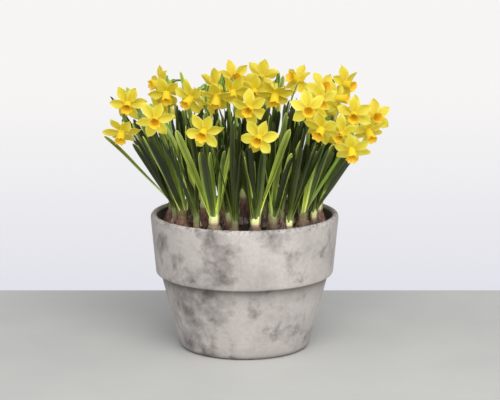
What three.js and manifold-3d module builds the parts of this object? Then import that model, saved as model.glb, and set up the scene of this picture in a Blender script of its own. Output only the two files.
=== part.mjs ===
// A pot of miniature daffodils in flower: a weathered clay pot, the soil in it, the bulbs half
// buried in the soil, the leaves and stems that rise from each bulb's neck, and the flowers.
// Millimetres, +Z up, the origin at the centre of the pot's underside.
import * as THREE from "three";
import { mergeVertices } from "three/addons/utils/BufferGeometryUtils.js";
import Module from "manifold-3d";

const wasm = await Module();
wasm.setup();

// The pot: a thick band below the rim, a chamfer under the band, and a body that tapers down
const POT_HEIGHT = 180;
const RIM_RADIUS = 125;
const BAND_FOOT_RADIUS = 118;
const BAND_FOOT_Z = 100;
const CHAMFER_RADIUS = 109;
const CHAMFER_Z = 88;
const FOOT_RADIUS = 87;
const WALL = 9;
const FLOOR = 12;
const EDGE = 4;
const POT_SIDES = 36;

// The soil and the bulbs
const SOIL_Z = 166;
const SOIL_SIDES = 18;
const SOIL_SWELL = 1.6;
const SOIL_GAP = 1.3;
const CLEARANCE = 0.3;
const BULB_RADIUS = 15;
const BULB_DEPTH = 26;
const BULB_SIDES = 7;
const BULB_SHOULDER = 0.7;
const BULB_BASE = 3;
const BULB_SLOPE = 0.37;
const NECK_WALL = 1.5;
const SOCKET_RADIUS = 5.2;
const SOCKET_DEPTH = 9;

// A tuft: the sheath at the bulb's neck, the leaves and the stems
const CROWN = 10;
const SHEATH_SINK = 2;
const SHEATH_RADIUS = 8.8;
const LEAF_RING = 5.8;
const STEM_RING = 2.1;
const LEAF_WIDTH = 10;
const MARKED_LEAF_WIDTH = 12;
const NARROWEST_LEAF = 0.75;
const LEAF_WIDTH_RANGE = 0.45;
const LEAF_THICKNESS = 1.6;
const LEAF_THINNING = 0.3;
const STEM_FOOT_RADIUS = 1.7;
const STEM_RADIUS = 2.1;
const STALK_RADIUS = 1.5;
const STEM_SIDES = 5;

// A leaf's width on the way up: the share of its height, and the share of its full width there
const LEAF_SHAPE = [
  [0, 0.34],
  [0.33, 0.88],
  [0.66, 1],
  [0.93, 0.8],
];

// A flower: six petals in two layers, the trumpet, the tube behind them, and the ovary
const PETAL_LENGTH = 26;
const PETAL_WIDTH = 14.6;
const PETAL_THICKNESS = 1.3;
const PETAL_TIP_BACK = 1.5;
const INNER_BREADTH = 0.94;
const LAYER_STEP = 2;
const HUB_RADIUS = 4.8;
const HUB_BACK_RADIUS = 4.1;
const HUB_DEPTH = 1.6;
const TRUMPET_LENGTH = 17;
const TRUMPET_RADIUS = 7.4;
const TRUMPET_WALL = 1.2;
const THROAT_DEPTH = 13;
const FRILL = 0.9;
const TUBE_LENGTH = 15;
const TUBE_RADIUS = 2.3;
const OVARY_LENGTH = 7;
const OVARY_RADIUS = 2.8;
const OVARY_WIDEST = 0.45;
const ARCH_RISE = 14;
const ARCH_REACH = 12;
const ARCH_PULL = 11.2;
const ARCH_BEND = 0.55;

// A petal from its root to its point: shares of its length, breadth and thickness, and how far
// it comes forward
const PETAL_SHAPE = [
  { reach: 0.46, breadth: 1, keel: 1, forward: 0.8 },
  { reach: 0.78, breadth: 0.78, keel: 0.8, forward: 0 },
];

// How the plants grow: every leaf and stem leans out from the pot's axis and bows a little. To the
// sides the lean grows with the distance from the middle.
const LEAN = 0.0042;
const OUTERMOST = 95;
const BOW = 0.12;
const BOW_HEIGHT = 150;
const MOST_STEMS = 4;

// Each nose is one neck, where a tuft grows. Two of the bulbs have two noses.
const NOSES = [
  { bulb: 1, x: -95, y: 8, z: 184 },
  { bulb: 2, x: -80, y: -50, z: 183 },
  { bulb: 3, x: -39, y: -87, z: 182 },
  { bulb: 4, x: 14, y: -93, z: 182 },
  { bulb: 4, x: 37, y: -80, z: 183 },
  { bulb: 5, x: 76, y: -58, z: 183 },
  { bulb: 6, x: 97, y: -6, z: 184 },
  { bulb: 7, x: 86, y: 46, z: 185 },
  { bulb: 8, x: 44, y: 86, z: 185 },
  { bulb: 9, x: -14, y: 95, z: 186 },
  { bulb: 10, x: -72, y: 63, z: 185 },
  { bulb: 11, x: -52, y: -22, z: 190 },
  { bulb: 12, x: -2, y: 8, z: 198 },
  { bulb: 12, x: 23, y: 0, z: 195 },
];

// Each flower: the middle of its petals, the way it faces in degrees (round from straight ahead,
// then up), how far its petals are turned, and its size
const FLOWERS = [
  { at: [-161, -15, 291], facing: [-8, -42], turn: 30, size: 1 },
  { at: [-155, 25, 322], facing: [-6, -20], turn: 30, size: 1 },
  { at: [-114, -90, 318], facing: [0, -8], turn: 38, size: 1 },
  { at: [-112, 72, 343], facing: [-58, -5], turn: 20, size: 1 },
  { at: [-103, 15, 338], facing: [0, -40], turn: 30, size: 1 },
  { at: [-69, -25, 337], facing: [-38, -30], turn: 5, size: 1 },
  { at: [-51, -120, 308], facing: [-13, -20], turn: 35, size: 1 },
  { at: [-40, 50, 342], facing: [150, 0], turn: 0, size: 1 },
  { at: [-15, 87, 348], facing: [15, 5], turn: 10, size: 1 },
  { at: [-35, -30, 341], facing: [-20, -55], turn: 0, size: 1 },
  { at: [-16, 10, 340], facing: [0, -30], turn: 30, size: 1 },
  { at: [7, -65, 329], facing: [-13, -10], turn: 5, size: 1 },
  { at: [13, 36, 337], facing: [0, -20], turn: 0, size: 1 },
  { at: [23, 95, 349], facing: [170, 0], turn: 15, size: 1 },
  { at: [40, -20, 342], facing: [-10, -50], turn: 30, size: 1 },
  { at: [18, -125, 301], facing: [-11, -14], turn: 34, size: 1 },
  { at: [104, 73, 335], facing: [26, 20], turn: 15, size: 1 },
  { at: [81, -95, 332], facing: [-3, -3], turn: 10, size: 1 },
  { at: [98, -15, 332], facing: [5, -15], turn: 0, size: 1 },
  { at: [123, 45, 326], facing: [65, 0], turn: 15, size: 1 },
  { at: [136, 95, 339], facing: [42, -7], turn: 5, size: 1 },
  { at: [144, 0, 311], facing: [-5, -12], turn: 0, size: 1 },
  { at: [175, 60, 298], facing: [12, 8], turn: 0, size: 1 },
  { at: [164, 20, 286], facing: [20, -38], turn: 10, size: 1 },
  { at: [73, 110, 341], facing: [-48, 25], turn: 0, size: 1 },
  { at: [126, -50, 293], facing: [-22, -8], turn: 0, size: 1 },
  { at: [98, -106, 309], facing: [-26, -29], turn: 0, size: 1 },
  { at: [136, -98, 281], facing: [0, -38], turn: 10, size: 1 },
  { at: [-112, 108, 306], facing: [215, -15], turn: 15, size: 1 },
  { at: [-45, 135, 312], facing: [190, -10], turn: 0, size: 1 },
  { at: [36, 140, 314], facing: [165, -15], turn: 20, size: 1 },
  { at: [115, 118, 300], facing: [140, -10], turn: 10, size: 1 },
];

// The leaves that show best: the nose that each grows from, its tip, and the way its blade faces.
// No other leaf stands before the foremost of them.
const FOREMOST_LEAVES = 2;
const MARKED_LEAVES = [
  { nose: 3, tip: [-86, -112, 307], face: 10 },
  { nose: 4, tip: [57, -112, 309], face: -20 },
  { nose: 1, tip: [-159, 54, 340], face: 30 },
  { nose: 12, tip: [-84, 13, 367], face: 60 },
  { nose: 14, tip: [51, 45, 357], face: 40 },
  { nose: 1, tip: [-184, -8, 284], face: 60 },
  { nose: 12, tip: [-124, -12, 328], face: 20 },
];

// How the other leaves are drawn in each tuft, and how far they keep from what stands already
const LEAVES_A_TUFT = 8;
const SEED = 4711;
const TRIES = 60;
const WIDEST_SPREAD = 0.34;
const WIDEST_TWIST = 150;
const LEAF_TOP = 332;
const LEAF_TOP_FALL = 0.28;
const LEAF_TOP_RANGE = 34;
const LEAST_TOP = 250;
const APART = 10.5;
const APART_IN_TUFT = 6.5;
const TEST_FROM = 20;
const TEST_FROM_IN_TUFT = 60;
const TEST_STEP = 12;
const TRIM_STEP = 2;
const FLOWER_CLEAR = 27;
const ARCH_CLEAR = 10;

// Leaves that would hide a flower end below it: the steps ahead of its face that they keep out of
const FACE_STEP = [0, -24, 4];
const FACE_STEPS = 3;
const FACE_CLEAR = 19;

// Joining leaves slivers that are no part of any form: what is finer than this is merged away
const FINEST = 0.02;

const radians = (degrees) => (degrees * Math.PI) / 180;
// The same plane of a blade, less than a quarter turn away
const quarterTurn = (angle) => angle - Math.PI * Math.round(angle / Math.PI);
const vector = (x, y, z) => new THREE.Vector3(x, y, z);
const UP = vector(0, 0, 1);

// A run of numbers from 0 to 1 that is the same each time
let state = SEED;
function draw() {
  state = (state * 16807) % 2147483647;
  return state / 2147483647;
}

// A closed three.js geometry as a solid that can be joined and cut
function solid(geometry) {
  const bare = geometry.index ? geometry.toNonIndexed() : geometry;
  bare.deleteAttribute("normal");
  bare.deleteAttribute("uv");
  const merged = mergeVertices(bare, 1e-3);
  const vertProperties = merged.attributes.position.array;
  const triVerts = new Uint32Array(merged.index.array);
  return new wasm.Manifold(new wasm.Mesh({ numProp: 3, vertProperties, triVerts }));
}

// The solids joined into one, as a named mesh
function node(name, solids, material) {
  const joined = solids.reduce((whole, piece) => whole.add(piece)).setTolerance(FINEST);
  const { numProp, vertProperties, triVerts, numVert } = joined.getMesh();
  const positions = new Float32Array(numVert * 3);
  for (let i = 0; i < numVert; i++) {
    positions.set(vertProperties.subarray(i * numProp, i * numProp + 3), i * 3);
  }
  const geometry = new THREE.BufferGeometry();
  geometry.setAttribute("position", new THREE.BufferAttribute(positions, 3));
  geometry.setIndex(new THREE.BufferAttribute(triVerts, 1));
  geometry.computeVertexNormals();
  const mesh = new THREE.Mesh(geometry, material);
  mesh.name = name;
  return mesh;
}

// A skin that is gathered face by face. Each ring of points runs anticlockwise about the way on.
class Skin {
  positions = [];

  face(...corners) {
    corners.forEach((point) => this.positions.push(point.x, point.y, point.z));
  }

  // The faces between two rings. Where the upper one is turned anticlockwise from the lower one,
  // the faces are split the other way, so that they bulge out and a thin blade keeps its thickness.
  band(low, high, leftward) {
    low.forEach((a, k) => {
      const b = low[(k + 1) % low.length];
      const c = high[(k + 1) % low.length];
      const d = high[k];
      this.face(a, b, leftward ? d : c);
      this.face(leftward ? b : a, c, d);
    });
  }

  // A band to a ring that has twice as many points
  flare(low, high) {
    low.forEach((a, k) => {
      const b = low[(k + 1) % low.length];
      const middle = high[2 * k + 1];
      this.face(a, middle, high[2 * k]);
      this.face(a, b, middle);
      this.face(b, high[(2 * k + 2) % high.length], middle);
    });
  }

  point(ring, tip) {
    ring.forEach((a, k) => this.face(a, ring[(k + 1) % ring.length], tip));
  }

  cap(ring) {
    for (let k = 1; k < ring.length - 1; k++) this.face(ring[0], ring[k + 1], ring[k]);
  }

  solid() {
    const geometry = new THREE.BufferGeometry();
    geometry.setAttribute("position", new THREE.Float32BufferAttribute(this.positions, 3));
    return solid(geometry);
  }
}

// A closed skin through rings. A tip closes it where one is given, and a flat end where not.
function loft(rings, tip, leftward) {
  const skin = new Skin();
  skin.cap(rings[0]);
  rings.slice(1).forEach((ring, i) => skin.band(rings[i], ring, leftward));
  if (tip) skin.point(rings.at(-1), tip);
  else skin.cap([...rings.at(-1)].reverse());
  return skin.solid();
}

// A body of revolution about Z from [radius, height] pairs that run anticlockwise
function turned(profile, sides) {
  const points = profile.map(([radius, height]) => new THREE.Vector2(radius, height));
  return solid(new THREE.LatheGeometry(points, sides).rotateX(Math.PI / 2));
}

// A round rod along points, with a radius at each
function rod(points, radii) {
  let across = vector(1, 0, 0);
  const rings = points.map((point, i) => {
    const ahead = points[Math.min(i + 1, points.length - 1)];
    const behind = points[Math.max(i - 1, 0)];
    const along = ahead.clone().sub(behind).normalize();
    across = across.addScaledVector(along, -across.dot(along)).normalize();
    const other = along.clone().cross(across);
    return Array.from({ length: STEM_SIDES }, (_, k) => {
      const turn = (k * 2 * Math.PI) / STEM_SIDES;
      return point
        .clone()
        .addScaledVector(across, radii[i] * Math.cos(turn))
        .addScaledVector(other, radii[i] * Math.sin(turn));
    });
  });
  return loft(rings);
}

// One ring of a blade: its two edges, and its keel a little behind them
function bladeRing(point, across, back, width, keel) {
  return [
    point.clone().addScaledVector(across, -width / 2),
    point.clone().addScaledVector(back, keel),
    point.clone().addScaledVector(across, width / 2),
  ];
}

function pot() {
  const inner = (radius) => radius - WALL;
  const profile = [
    [0, 0],
    [FOOT_RADIUS - EDGE, 0],
    [FOOT_RADIUS, EDGE],
    [CHAMFER_RADIUS, CHAMFER_Z],
    [BAND_FOOT_RADIUS, BAND_FOOT_Z],
    [RIM_RADIUS, POT_HEIGHT - EDGE],
    [RIM_RADIUS - EDGE / 2, POT_HEIGHT],
    [inner(RIM_RADIUS) + EDGE / 2, POT_HEIGHT],
    [inner(RIM_RADIUS), POT_HEIGHT - EDGE],
    [inner(CHAMFER_RADIUS), CHAMFER_Z],
    [inner(FOOT_RADIUS), FLOOR],
    [0, FLOOR],
  ];
  return turned(profile, POT_SIDES);
}

// The part of a bulb below one nose, with a socket for the tuft in its neck. The margin makes it
// larger, as the hole that it leaves in the soil.
function bulb(nose, margin = 0) {
  const sunk = SOIL_Z - nose.z;
  const outside = [
    [0, sunk - BULB_DEPTH - margin],
    [BULB_RADIUS * BULB_SHOULDER + margin, sunk - BULB_DEPTH + BULB_BASE - margin],
    [BULB_RADIUS + margin, sunk],
    [BULB_RADIUS * BULB_SHOULDER + margin, sunk * BULB_SLOPE],
    [SOCKET_RADIUS + NECK_WALL + margin, margin],
  ];
  const socket = [
    [SOCKET_RADIUS, 0],
    [SOCKET_RADIUS, -SOCKET_DEPTH],
    [0, -SOCKET_DEPTH],
  ];
  const profile = margin ? [...outside, [0, margin]] : [...outside, ...socket];
  return turned(profile, BULB_SIDES).translate([nose.x, nose.y, nose.z]);
}

// The soil, gently uneven, with a hole for each bulb
function soil() {
  const wall = (z) => {
    const share = (z - CHAMFER_Z) / (POT_HEIGHT - EDGE - CHAMFER_Z);
    return CHAMFER_RADIUS + share * (RIM_RADIUS - CHAMFER_RADIUS) - WALL - SOIL_GAP;
  };
  const points = [
    [0, FLOOR + CLEARANCE],
    [FOOT_RADIUS - WALL - SOIL_GAP, FLOOR + CLEARANCE],
    [wall(CHAMFER_Z), CHAMFER_Z],
    [wall(SOIL_Z), SOIL_Z],
    [wall(SOIL_Z) / 2, SOIL_Z],
    [0, SOIL_Z],
  ].map(([radius, height]) => new THREE.Vector2(radius, height));
  const geometry = new THREE.LatheGeometry(points, SOIL_SIDES).rotateX(Math.PI / 2);
  const place = geometry.attributes.position;
  for (let i = 0; i < place.count; i++) {
    if (place.getZ(i) < SOIL_Z - 1) continue;
    const swell = Math.sin(place.getX(i) / 17) * Math.cos(place.getY(i) / 13);
    place.setZ(i, SOIL_Z + SOIL_SWELL * swell);
  }
  return NOSES.reduce((body, nose) => body.subtract(bulb(nose, CLEARANCE)), solid(geometry));
}

// What a flower is built on: its middle, its axis, the end of its ovary and its spokes
function flowerFrame({ at, facing, turn, size }) {
  const [round, up] = facing.map(radians);
  const axis = vector(
    Math.sin(round) * Math.cos(up),
    -Math.cos(round) * Math.cos(up),
    Math.sin(up),
  );
  const side = UP.clone().cross(axis).normalize();
  const top = axis.clone().cross(side);
  const middle = vector(...at);
  const along = (distance) => middle.clone().addScaledVector(axis, distance * size);
  const spoke = (angle) =>
    side
      .clone()
      .multiplyScalar(size * Math.cos(angle))
      .addScaledVector(top, size * Math.sin(angle));
  const back = along(-TUBE_LENGTH - OVARY_LENGTH);
  return { middle, axis, along, spoke, back, turn: radians(90 + turn) };
}

// A flower. Its petals grow from the hub between the tube and the trumpet: the outer three are
// broader and bend back, and the inner three lie in front of them.
function flower(frame) {
  const skin = new Skin();
  const ring = (count, radius, forward, first) =>
    Array.from({ length: count }, (_, k) =>
      frame
        .along(forward(k))
        .addScaledVector(frame.spoke(frame.turn + ((k + first) * 2 * Math.PI) / count), radius(k)),
    );
  const hubFront = ring(6, () => HUB_RADIUS, () => 0, -0.5);
  const hubBack = ring(6, () => HUB_BACK_RADIUS, () => -HUB_DEPTH, 0);
  const tubeEnd = ring(6, () => TUBE_RADIUS, () => -TUBE_LENGTH, 0);
  const frill = (k) => (k % 2 ? FRILL : 0);
  const rim = ring(12, (k) => TRUMPET_RADIUS - frill(k), (k) => TRUMPET_LENGTH + frill(k), -1);
  const lip = ring(
    12,
    (k) => TRUMPET_RADIUS - TRUMPET_WALL - frill(k),
    (k) => TRUMPET_LENGTH + frill(k),
    -1,
  );
  skin.cap(tubeEnd);
  skin.band(tubeEnd, hubBack);
  skin.flare(hubFront, rim);
  skin.band(rim, lip);
  skin.point(lip, frame.along(TRUMPET_LENGTH - THROAT_DEPTH));
  hubBack.forEach((low, k) => {
    const next = (k + 1) % 6;
    skin.face(low, hubBack[next], hubFront[next]);
    petal(skin, frame, k, [hubFront[k], low, hubFront[next]]);
  });
  return skin.solid();
}

// One petal, from its three-cornered root on the hub to its point
function petal(skin, frame, index, root) {
  const outer = index % 2 === 0;
  const angle = frame.turn + (index * Math.PI) / 3;
  const out = frame.spoke(angle);
  const across = frame.spoke(angle + Math.PI / 2);
  const back = frame.axis.clone().negate();
  const lift = outer ? -LAYER_STEP / 2 : LAYER_STEP / 2;
  const full = outer ? PETAL_WIDTH : PETAL_WIDTH * INNER_BREADTH;
  const place = (reach, forward) =>
    frame.along(lift + forward).addScaledVector(out, reach * PETAL_LENGTH);
  let ring = root;
  for (const { reach, breadth, keel, forward } of PETAL_SHAPE) {
    const middle = place(reach, forward);
    const next = bladeRing(middle, across, back, full * breadth, PETAL_THICKNESS * keel);
    skin.band(ring, next);
    ring = next;
  }
  skin.point(ring, place(1, -PETAL_TIP_BACK));
}

// Where a flower's stem ends and its arched stalk begins: below and behind its ovary
function stemTop({ back, axis }) {
  return back.clone().addScaledVector(axis, -ARCH_REACH).addScaledVector(UP, -ARCH_RISE);
}

// The rise of a leaf or stem, stretched by its bow
const bowed = (rise) => rise * (1 + BOW * (rise / BOW_HEIGHT) ** 2);

// A growth line from a nose to a target. Its slot is where it starts from the crown of the tuft.
function growthLine(nose, target) {
  const start = nose.z + CROWN;
  const height = target.z - start;
  const slope = {
    x: (target.x - nose.x) / bowed(height),
    y: (target.y - nose.y) / bowed(height),
  };
  return { nose, start, height, slope, slot: { x: 0, y: 0 } };
}

// The point of a growth line at a rise above the crown
function pointOn({ nose, start, height, slope, slot }, rise) {
  const fade = 1 - rise / height;
  return vector(
    nose.x + slope.x * bowed(rise) + slot.x * fade,
    nose.y + slope.y * bowed(rise) + slot.y * fade,
    start + rise,
  );
}

// The nose whose tuft a point lies nearest to at its height, of those that have room for a stem
function nearestNose(point, taken) {
  const distance = (nose) => {
    const spread = 1 + LEAN * bowed(point.z - nose.z - CROWN);
    return Math.hypot(point.x - nose.x * spread, point.y - nose.y * spread);
  };
  return NOSES.filter((nose) => taken.filter(({ line }) => line.nose === nose).length < MOST_STEMS)
    .reduce((best, nose) => (distance(nose) < distance(best) ? nose : best));
}

// A stem from its slot in the crown, its stalk that arches over, and the ovary it swells into
function stem({ line, frame }) {
  const top = pointOn(line, line.height);
  const heading = top.clone().sub(pointOn(line, line.height - 1));
  const arch = new THREE.CubicBezierCurve3(
    top,
    top.clone().addScaledVector(heading, ARCH_PULL),
    frame.back.clone().addScaledVector(frame.axis, -ARCH_REACH),
    frame.back,
  );
  const points = [
    pointOn(line, -SHEATH_SINK),
    pointOn(line, line.height * 0.5),
    top,
    arch.getPoint(ARCH_BEND),
    frame.back,
    frame.along(-TUBE_LENGTH - OVARY_LENGTH * OVARY_WIDEST),
    frame.along(-TUBE_LENGTH).addScaledVector(frame.axis, -CLEARANCE),
  ];
  const mean = (STEM_RADIUS + STALK_RADIUS) / 2;
  const radii = [STEM_FOOT_RADIUS, STEM_RADIUS, mean, STALK_RADIUS, STALK_RADIUS];
  return rod(points, [...radii, OVARY_RADIUS, TUBE_RADIUS]);
}

// A strap leaf along its growth line, with a blunt tip. Its back faces out from the crown at its
// root, and it turns as it rises.
function leaf({ line, face, twist, width }) {
  const root = Math.atan2(line.slot.y, line.slot.x) + Math.PI / 2;
  const turn = face === undefined ? twist : quarterTurn(face - root);
  const rings = LEAF_SHAPE.map(([share, breadth]) => {
    const rise = share * line.height - (share ? 0 : SHEATH_SINK);
    const along = pointOn(line, rise + 1).sub(pointOn(line, rise - 1)).normalize();
    const across = vector(Math.cos(root + turn * share), Math.sin(root + turn * share), 0);
    across.addScaledVector(along, -across.dot(along)).normalize();
    const back = across.clone().cross(along);
    const keel = LEAF_THICKNESS * (1 - LEAF_THINNING * share);
    return bladeRing(pointOn(line, rise), across, back, width * breadth, keel);
  });
  return loft(rings, pointOn(line, line.height), turn > 0);
}

// The pale sheath that holds a tuft together and stands in the socket of the bulb's neck
function sheath(nose) {
  const foot = CLEARANCE - SOCKET_DEPTH;
  const profile = [
    [0, foot],
    [SOCKET_RADIUS - CLEARANCE, foot],
    [SOCKET_RADIUS - CLEARANCE, 0],
    [SHEATH_RADIUS, CROWN],
    [0, CROWN],
  ];
  return turned(profile, BULB_SIDES).translate([nose.x, nose.y, nose.z]);
}

// The stems come first, because the flowers fix where they end
const stems = [];
FLOWERS.map(flowerFrame).forEach((frame) => {
  const top = stemTop(frame);
  stems.push({ frame, line: growthLine(nearestNose(top, stems), top) });
});

// The flowers, the arched stalks and the room before each flower's face that a leaf keeps out of
const keptClear = stems.flatMap(({ frame }) => [
  { centre: frame.middle, radius: FLOWER_CLEAR },
  { centre: frame.back.clone().addScaledVector(frame.axis, -ARCH_REACH / 2), radius: ARCH_CLEAR },
  ...Array.from({ length: FACE_STEPS }, (_, k) => ({
    centre: frame.middle.clone().addScaledVector(vector(...FACE_STEP), k + 1),
    radius: FACE_CLEAR,
  })),
]);

// True if a line stays clear of the lines that stand already, at every height that both reach, and
// behind the foremost of them
function clearOfLines(line, lines) {
  return lines.every((other) => {
    const own = other.nose === line.nose;
    const apart = own ? APART_IN_TUFT : APART;
    const top = Math.min(line.start + line.height, other.start + other.height);
    const from = own ? TEST_FROM_IN_TUFT : TEST_FROM;
    for (let rise = from; line.start + rise < top; rise += TEST_STEP) {
      const a = pointOn(line, rise);
      const b = pointOn(other, line.start + rise - other.start);
      if (Math.hypot(a.x - b.x, a.y - b.y) < apart) return false;
      if (other.foremost && a.y < b.y && Math.abs(a.x - b.x) < APART) return false;
    }
    return true;
  });
}

// How high a line can rise before it meets a flower
function freeHeight(line) {
  for (let rise = TEST_FROM; rise < line.height; rise += TRIM_STEP) {
    const point = pointOn(line, rise);
    const met = keptClear.some(({ centre, radius }) => point.distanceTo(centre) < radius);
    if (met) return rise - TRIM_STEP;
  }
  return line.height;
}

// A leaf towards a tip, with its twist and width drawn
function leafTowards(nose, tip, face) {
  const twist = face === undefined ? radians(WIDEST_TWIST) * (draw() - 0.5) : 0;
  const drawnWidth = LEAF_WIDTH * (NARROWEST_LEAF + LEAF_WIDTH_RANGE * draw());
  const width = face === undefined ? drawnWidth : MARKED_LEAF_WIDTH;
  return { line: growthLine(nose, tip), face, twist, width };
}

// A leaf drawn at random in a tuft: the tip somewhere round the tuft's lean, the blade across it
function drawnLeaf(nose) {
  const turn = draw() * 2 * Math.PI;
  const spread = Math.sqrt(draw()) * WIDEST_SPREAD;
  const lean = { x: nose.x * LEAN * (nose.x / OUTERMOST) ** 2, y: nose.y * LEAN };
  const fall = LEAF_TOP_FALL * Math.hypot(nose.x, nose.y);
  const z = LEAF_TOP - fall + (2 * draw() - 1) * LEAF_TOP_RANGE;
  const run = bowed(z - nose.z - CROWN);
  const tip = vector(
    nose.x + (lean.x + Math.cos(turn) * spread) * run,
    nose.y + (lean.y + Math.sin(turn) * spread) * run,
    z,
  );
  return leafTowards(nose, tip);
}

// The marked leaves, then round after round of one more leaf for each tuft where there is room
function allLeaves() {
  const leaves = MARKED_LEAVES.map(({ nose, tip, face }) =>
    leafTowards(NOSES[nose - 1], vector(...tip), radians(face)),
  );
  leaves.slice(0, FOREMOST_LEAVES).forEach(({ line }) => {
    line.foremost = true;
  });
  const lines = [...stems, ...leaves].map(({ line }) => line);
  for (let round = 0; round < LEAVES_A_TUFT; round++) {
    for (const nose of NOSES) {
      for (let attempt = 0; attempt < TRIES; attempt++) {
        const made = drawnLeaf(nose);
        made.line.height = freeHeight(made.line);
        if (made.line.start + made.line.height < LEAST_TOP) continue;
        if (!clearOfLines(made.line, lines)) continue;
        leaves.push(made);
        lines.push(made.line);
        break;
      }
    }
  }
  return leaves;
}
const leaves = allLeaves();

// Gives lines of one nose their slots, evenly round a ring, in the order that they spread
function giveSlots(lines, radius) {
  const mean = (key) => lines.reduce((sum, { slope }) => sum + slope[key], 0) / lines.length;
  const middle = { x: mean("x"), y: mean("y") };
  const bearing = ({ slope }) => Math.atan2(slope.y - middle.y, slope.x - middle.x);
  lines.sort((one, other) => bearing(one) - bearing(other));
  lines.forEach((line, k) => {
    const angle = bearing(lines[0]) + (k * 2 * Math.PI) / lines.length;
    line.slot = { x: radius * Math.cos(angle), y: radius * Math.sin(angle) };
  });
}
NOSES.forEach((nose) => {
  const linesOf = (pieces) => pieces.map(({ line }) => line).filter((line) => line.nose === nose);
  giveSlots(linesOf(leaves), LEAF_RING);
  giveSlots(linesOf(stems), STEM_RING);
});

const clay = new THREE.MeshStandardMaterial({ color: 0xb9b1aa, roughness: 0.95, metalness: 0 });
const earth = new THREE.MeshStandardMaterial({ color: 0x2c211b, roughness: 1, metalness: 0 });
const tunic = new THREE.MeshStandardMaterial({ color: 0x7a5646, roughness: 0.7, metalness: 0 });
const green = new THREE.MeshStandardMaterial({ color: 0x4f7a2c, roughness: 0.5, metalness: 0 });
const yellow = new THREE.MeshStandardMaterial({ color: 0xf2d422, roughness: 0.6, metalness: 0 });
const numbered = (name, number) => name + "_" + String(number).padStart(2, "0");

const plant = new THREE.Group();
plant.add(node("pot", [pot()], clay));
plant.add(node("soil", [soil()], earth));
for (let number = 1; number <= NOSES.at(-1).bulb; number++) {
  const noses = NOSES.filter((nose) => nose.bulb === number);
  plant.add(node(numbered("bulb", number), noses.map((nose) => bulb(nose)), tunic));
}
NOSES.forEach((nose, i) => {
  const here = ({ line }) => line.nose === nose;
  const tuft = [sheath(nose), ...leaves.filter(here).map(leaf)];
  plant.add(node(numbered("foliage", i + 1), [...tuft, ...stems.filter(here).map(stem)], green));
});
stems.forEach(({ frame }, i) => {
  plant.add(node(numbered("flower", i + 1), [flower(frame)], yellow));
});

export default plant;
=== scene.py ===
"""The looks of a clay pot of miniature daffodils in flower, built round its CAD frame."""

import math
import bmesh
import bpy
from mathutils import Matrix, Vector


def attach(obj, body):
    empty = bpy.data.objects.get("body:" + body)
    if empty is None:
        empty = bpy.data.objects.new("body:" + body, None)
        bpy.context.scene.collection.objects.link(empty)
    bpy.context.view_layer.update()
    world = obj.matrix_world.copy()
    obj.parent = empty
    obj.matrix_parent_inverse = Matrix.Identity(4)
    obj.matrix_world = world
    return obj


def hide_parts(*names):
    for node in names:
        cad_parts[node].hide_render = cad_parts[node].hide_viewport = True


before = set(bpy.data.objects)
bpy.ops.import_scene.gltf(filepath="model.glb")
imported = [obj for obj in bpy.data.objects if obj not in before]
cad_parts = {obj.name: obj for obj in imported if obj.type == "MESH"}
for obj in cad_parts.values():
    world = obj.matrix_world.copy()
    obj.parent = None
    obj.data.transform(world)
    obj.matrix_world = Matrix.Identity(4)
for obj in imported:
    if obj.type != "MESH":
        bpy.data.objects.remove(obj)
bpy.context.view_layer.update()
bpy.ops.object.select_all(action="DESELECT")


# The clay pot: one piece of thick unglazed clay, turned with a deep band below its rim. A grey
# limewash is rubbed over it and has worn into soft clouds and dark stains. The inside of its wall
# is bare clay, painted a dark brown that stands for the shade inside the pot.
POT_HEIGHT = 0.180
RIM_RADIUS = 0.125
BAND_FOOT_RADIUS = 0.118
BAND_FOOT_Z = 0.100
CHAMFER_RADIUS = 0.109
CHAMFER_Z = 0.088
UNDERCUT_RADIUS = 0.1115
UNDERCUT_Z = 0.0985
FOOT_RADIUS = 0.087
WALL = 0.009
FLOOR = 0.012
EDGE = 0.004
SOFT_EDGE = 0.0022
POT_SIDES = 128
WASH_GREYS = [
    (0.30, (0.48, 0.445, 0.425)),
    (0.55, (0.565, 0.52, 0.49)),
    (0.75, (0.50, 0.47, 0.47)),
]
# Tones up the pot: darker at the very foot, and a painted shade in the step under the band, darkest
# just below its edge.
TONES_UP_THE_POT = [
    (0.0, 0.60),
    (0.007, 0.86),
    (0.020, 1),
    (0.068, 1),
    (CHAMFER_Z, 0.80),
    (0.0975, 0.42),
    (0.102, 0.965),
]
CLOUDS = [(0.48, 1), (0.72, 0.72)]
SMALL_CLOUDS = [(0.57, 1), (0.74, 0.76)]
GRIT = [(0.35, 0.95), (0.65, 1.03)]
SPECKS = [(0.40, 0.50), (0.52, 1)]
SPECKED_RIM = [(0.172, 0), (0.178, 1)]
STAIN_TONES = [(0.51, (0.38, 0.365, 0.37)), (0.98, 1)]
STAIN_WANDER = (0.055, 0.055, 0.055)
STAIN_RAGGEDNESS = 3.8
STAIN_RANGE = 0.3
# The inner wall's browns are painted dark, as the shade inside the pot.
INNER_SHADE_BROWNS = [(0.3, (0.050, 0.044, 0.034)), (0.7, (0.120, 0.105, 0.085))]
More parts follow.
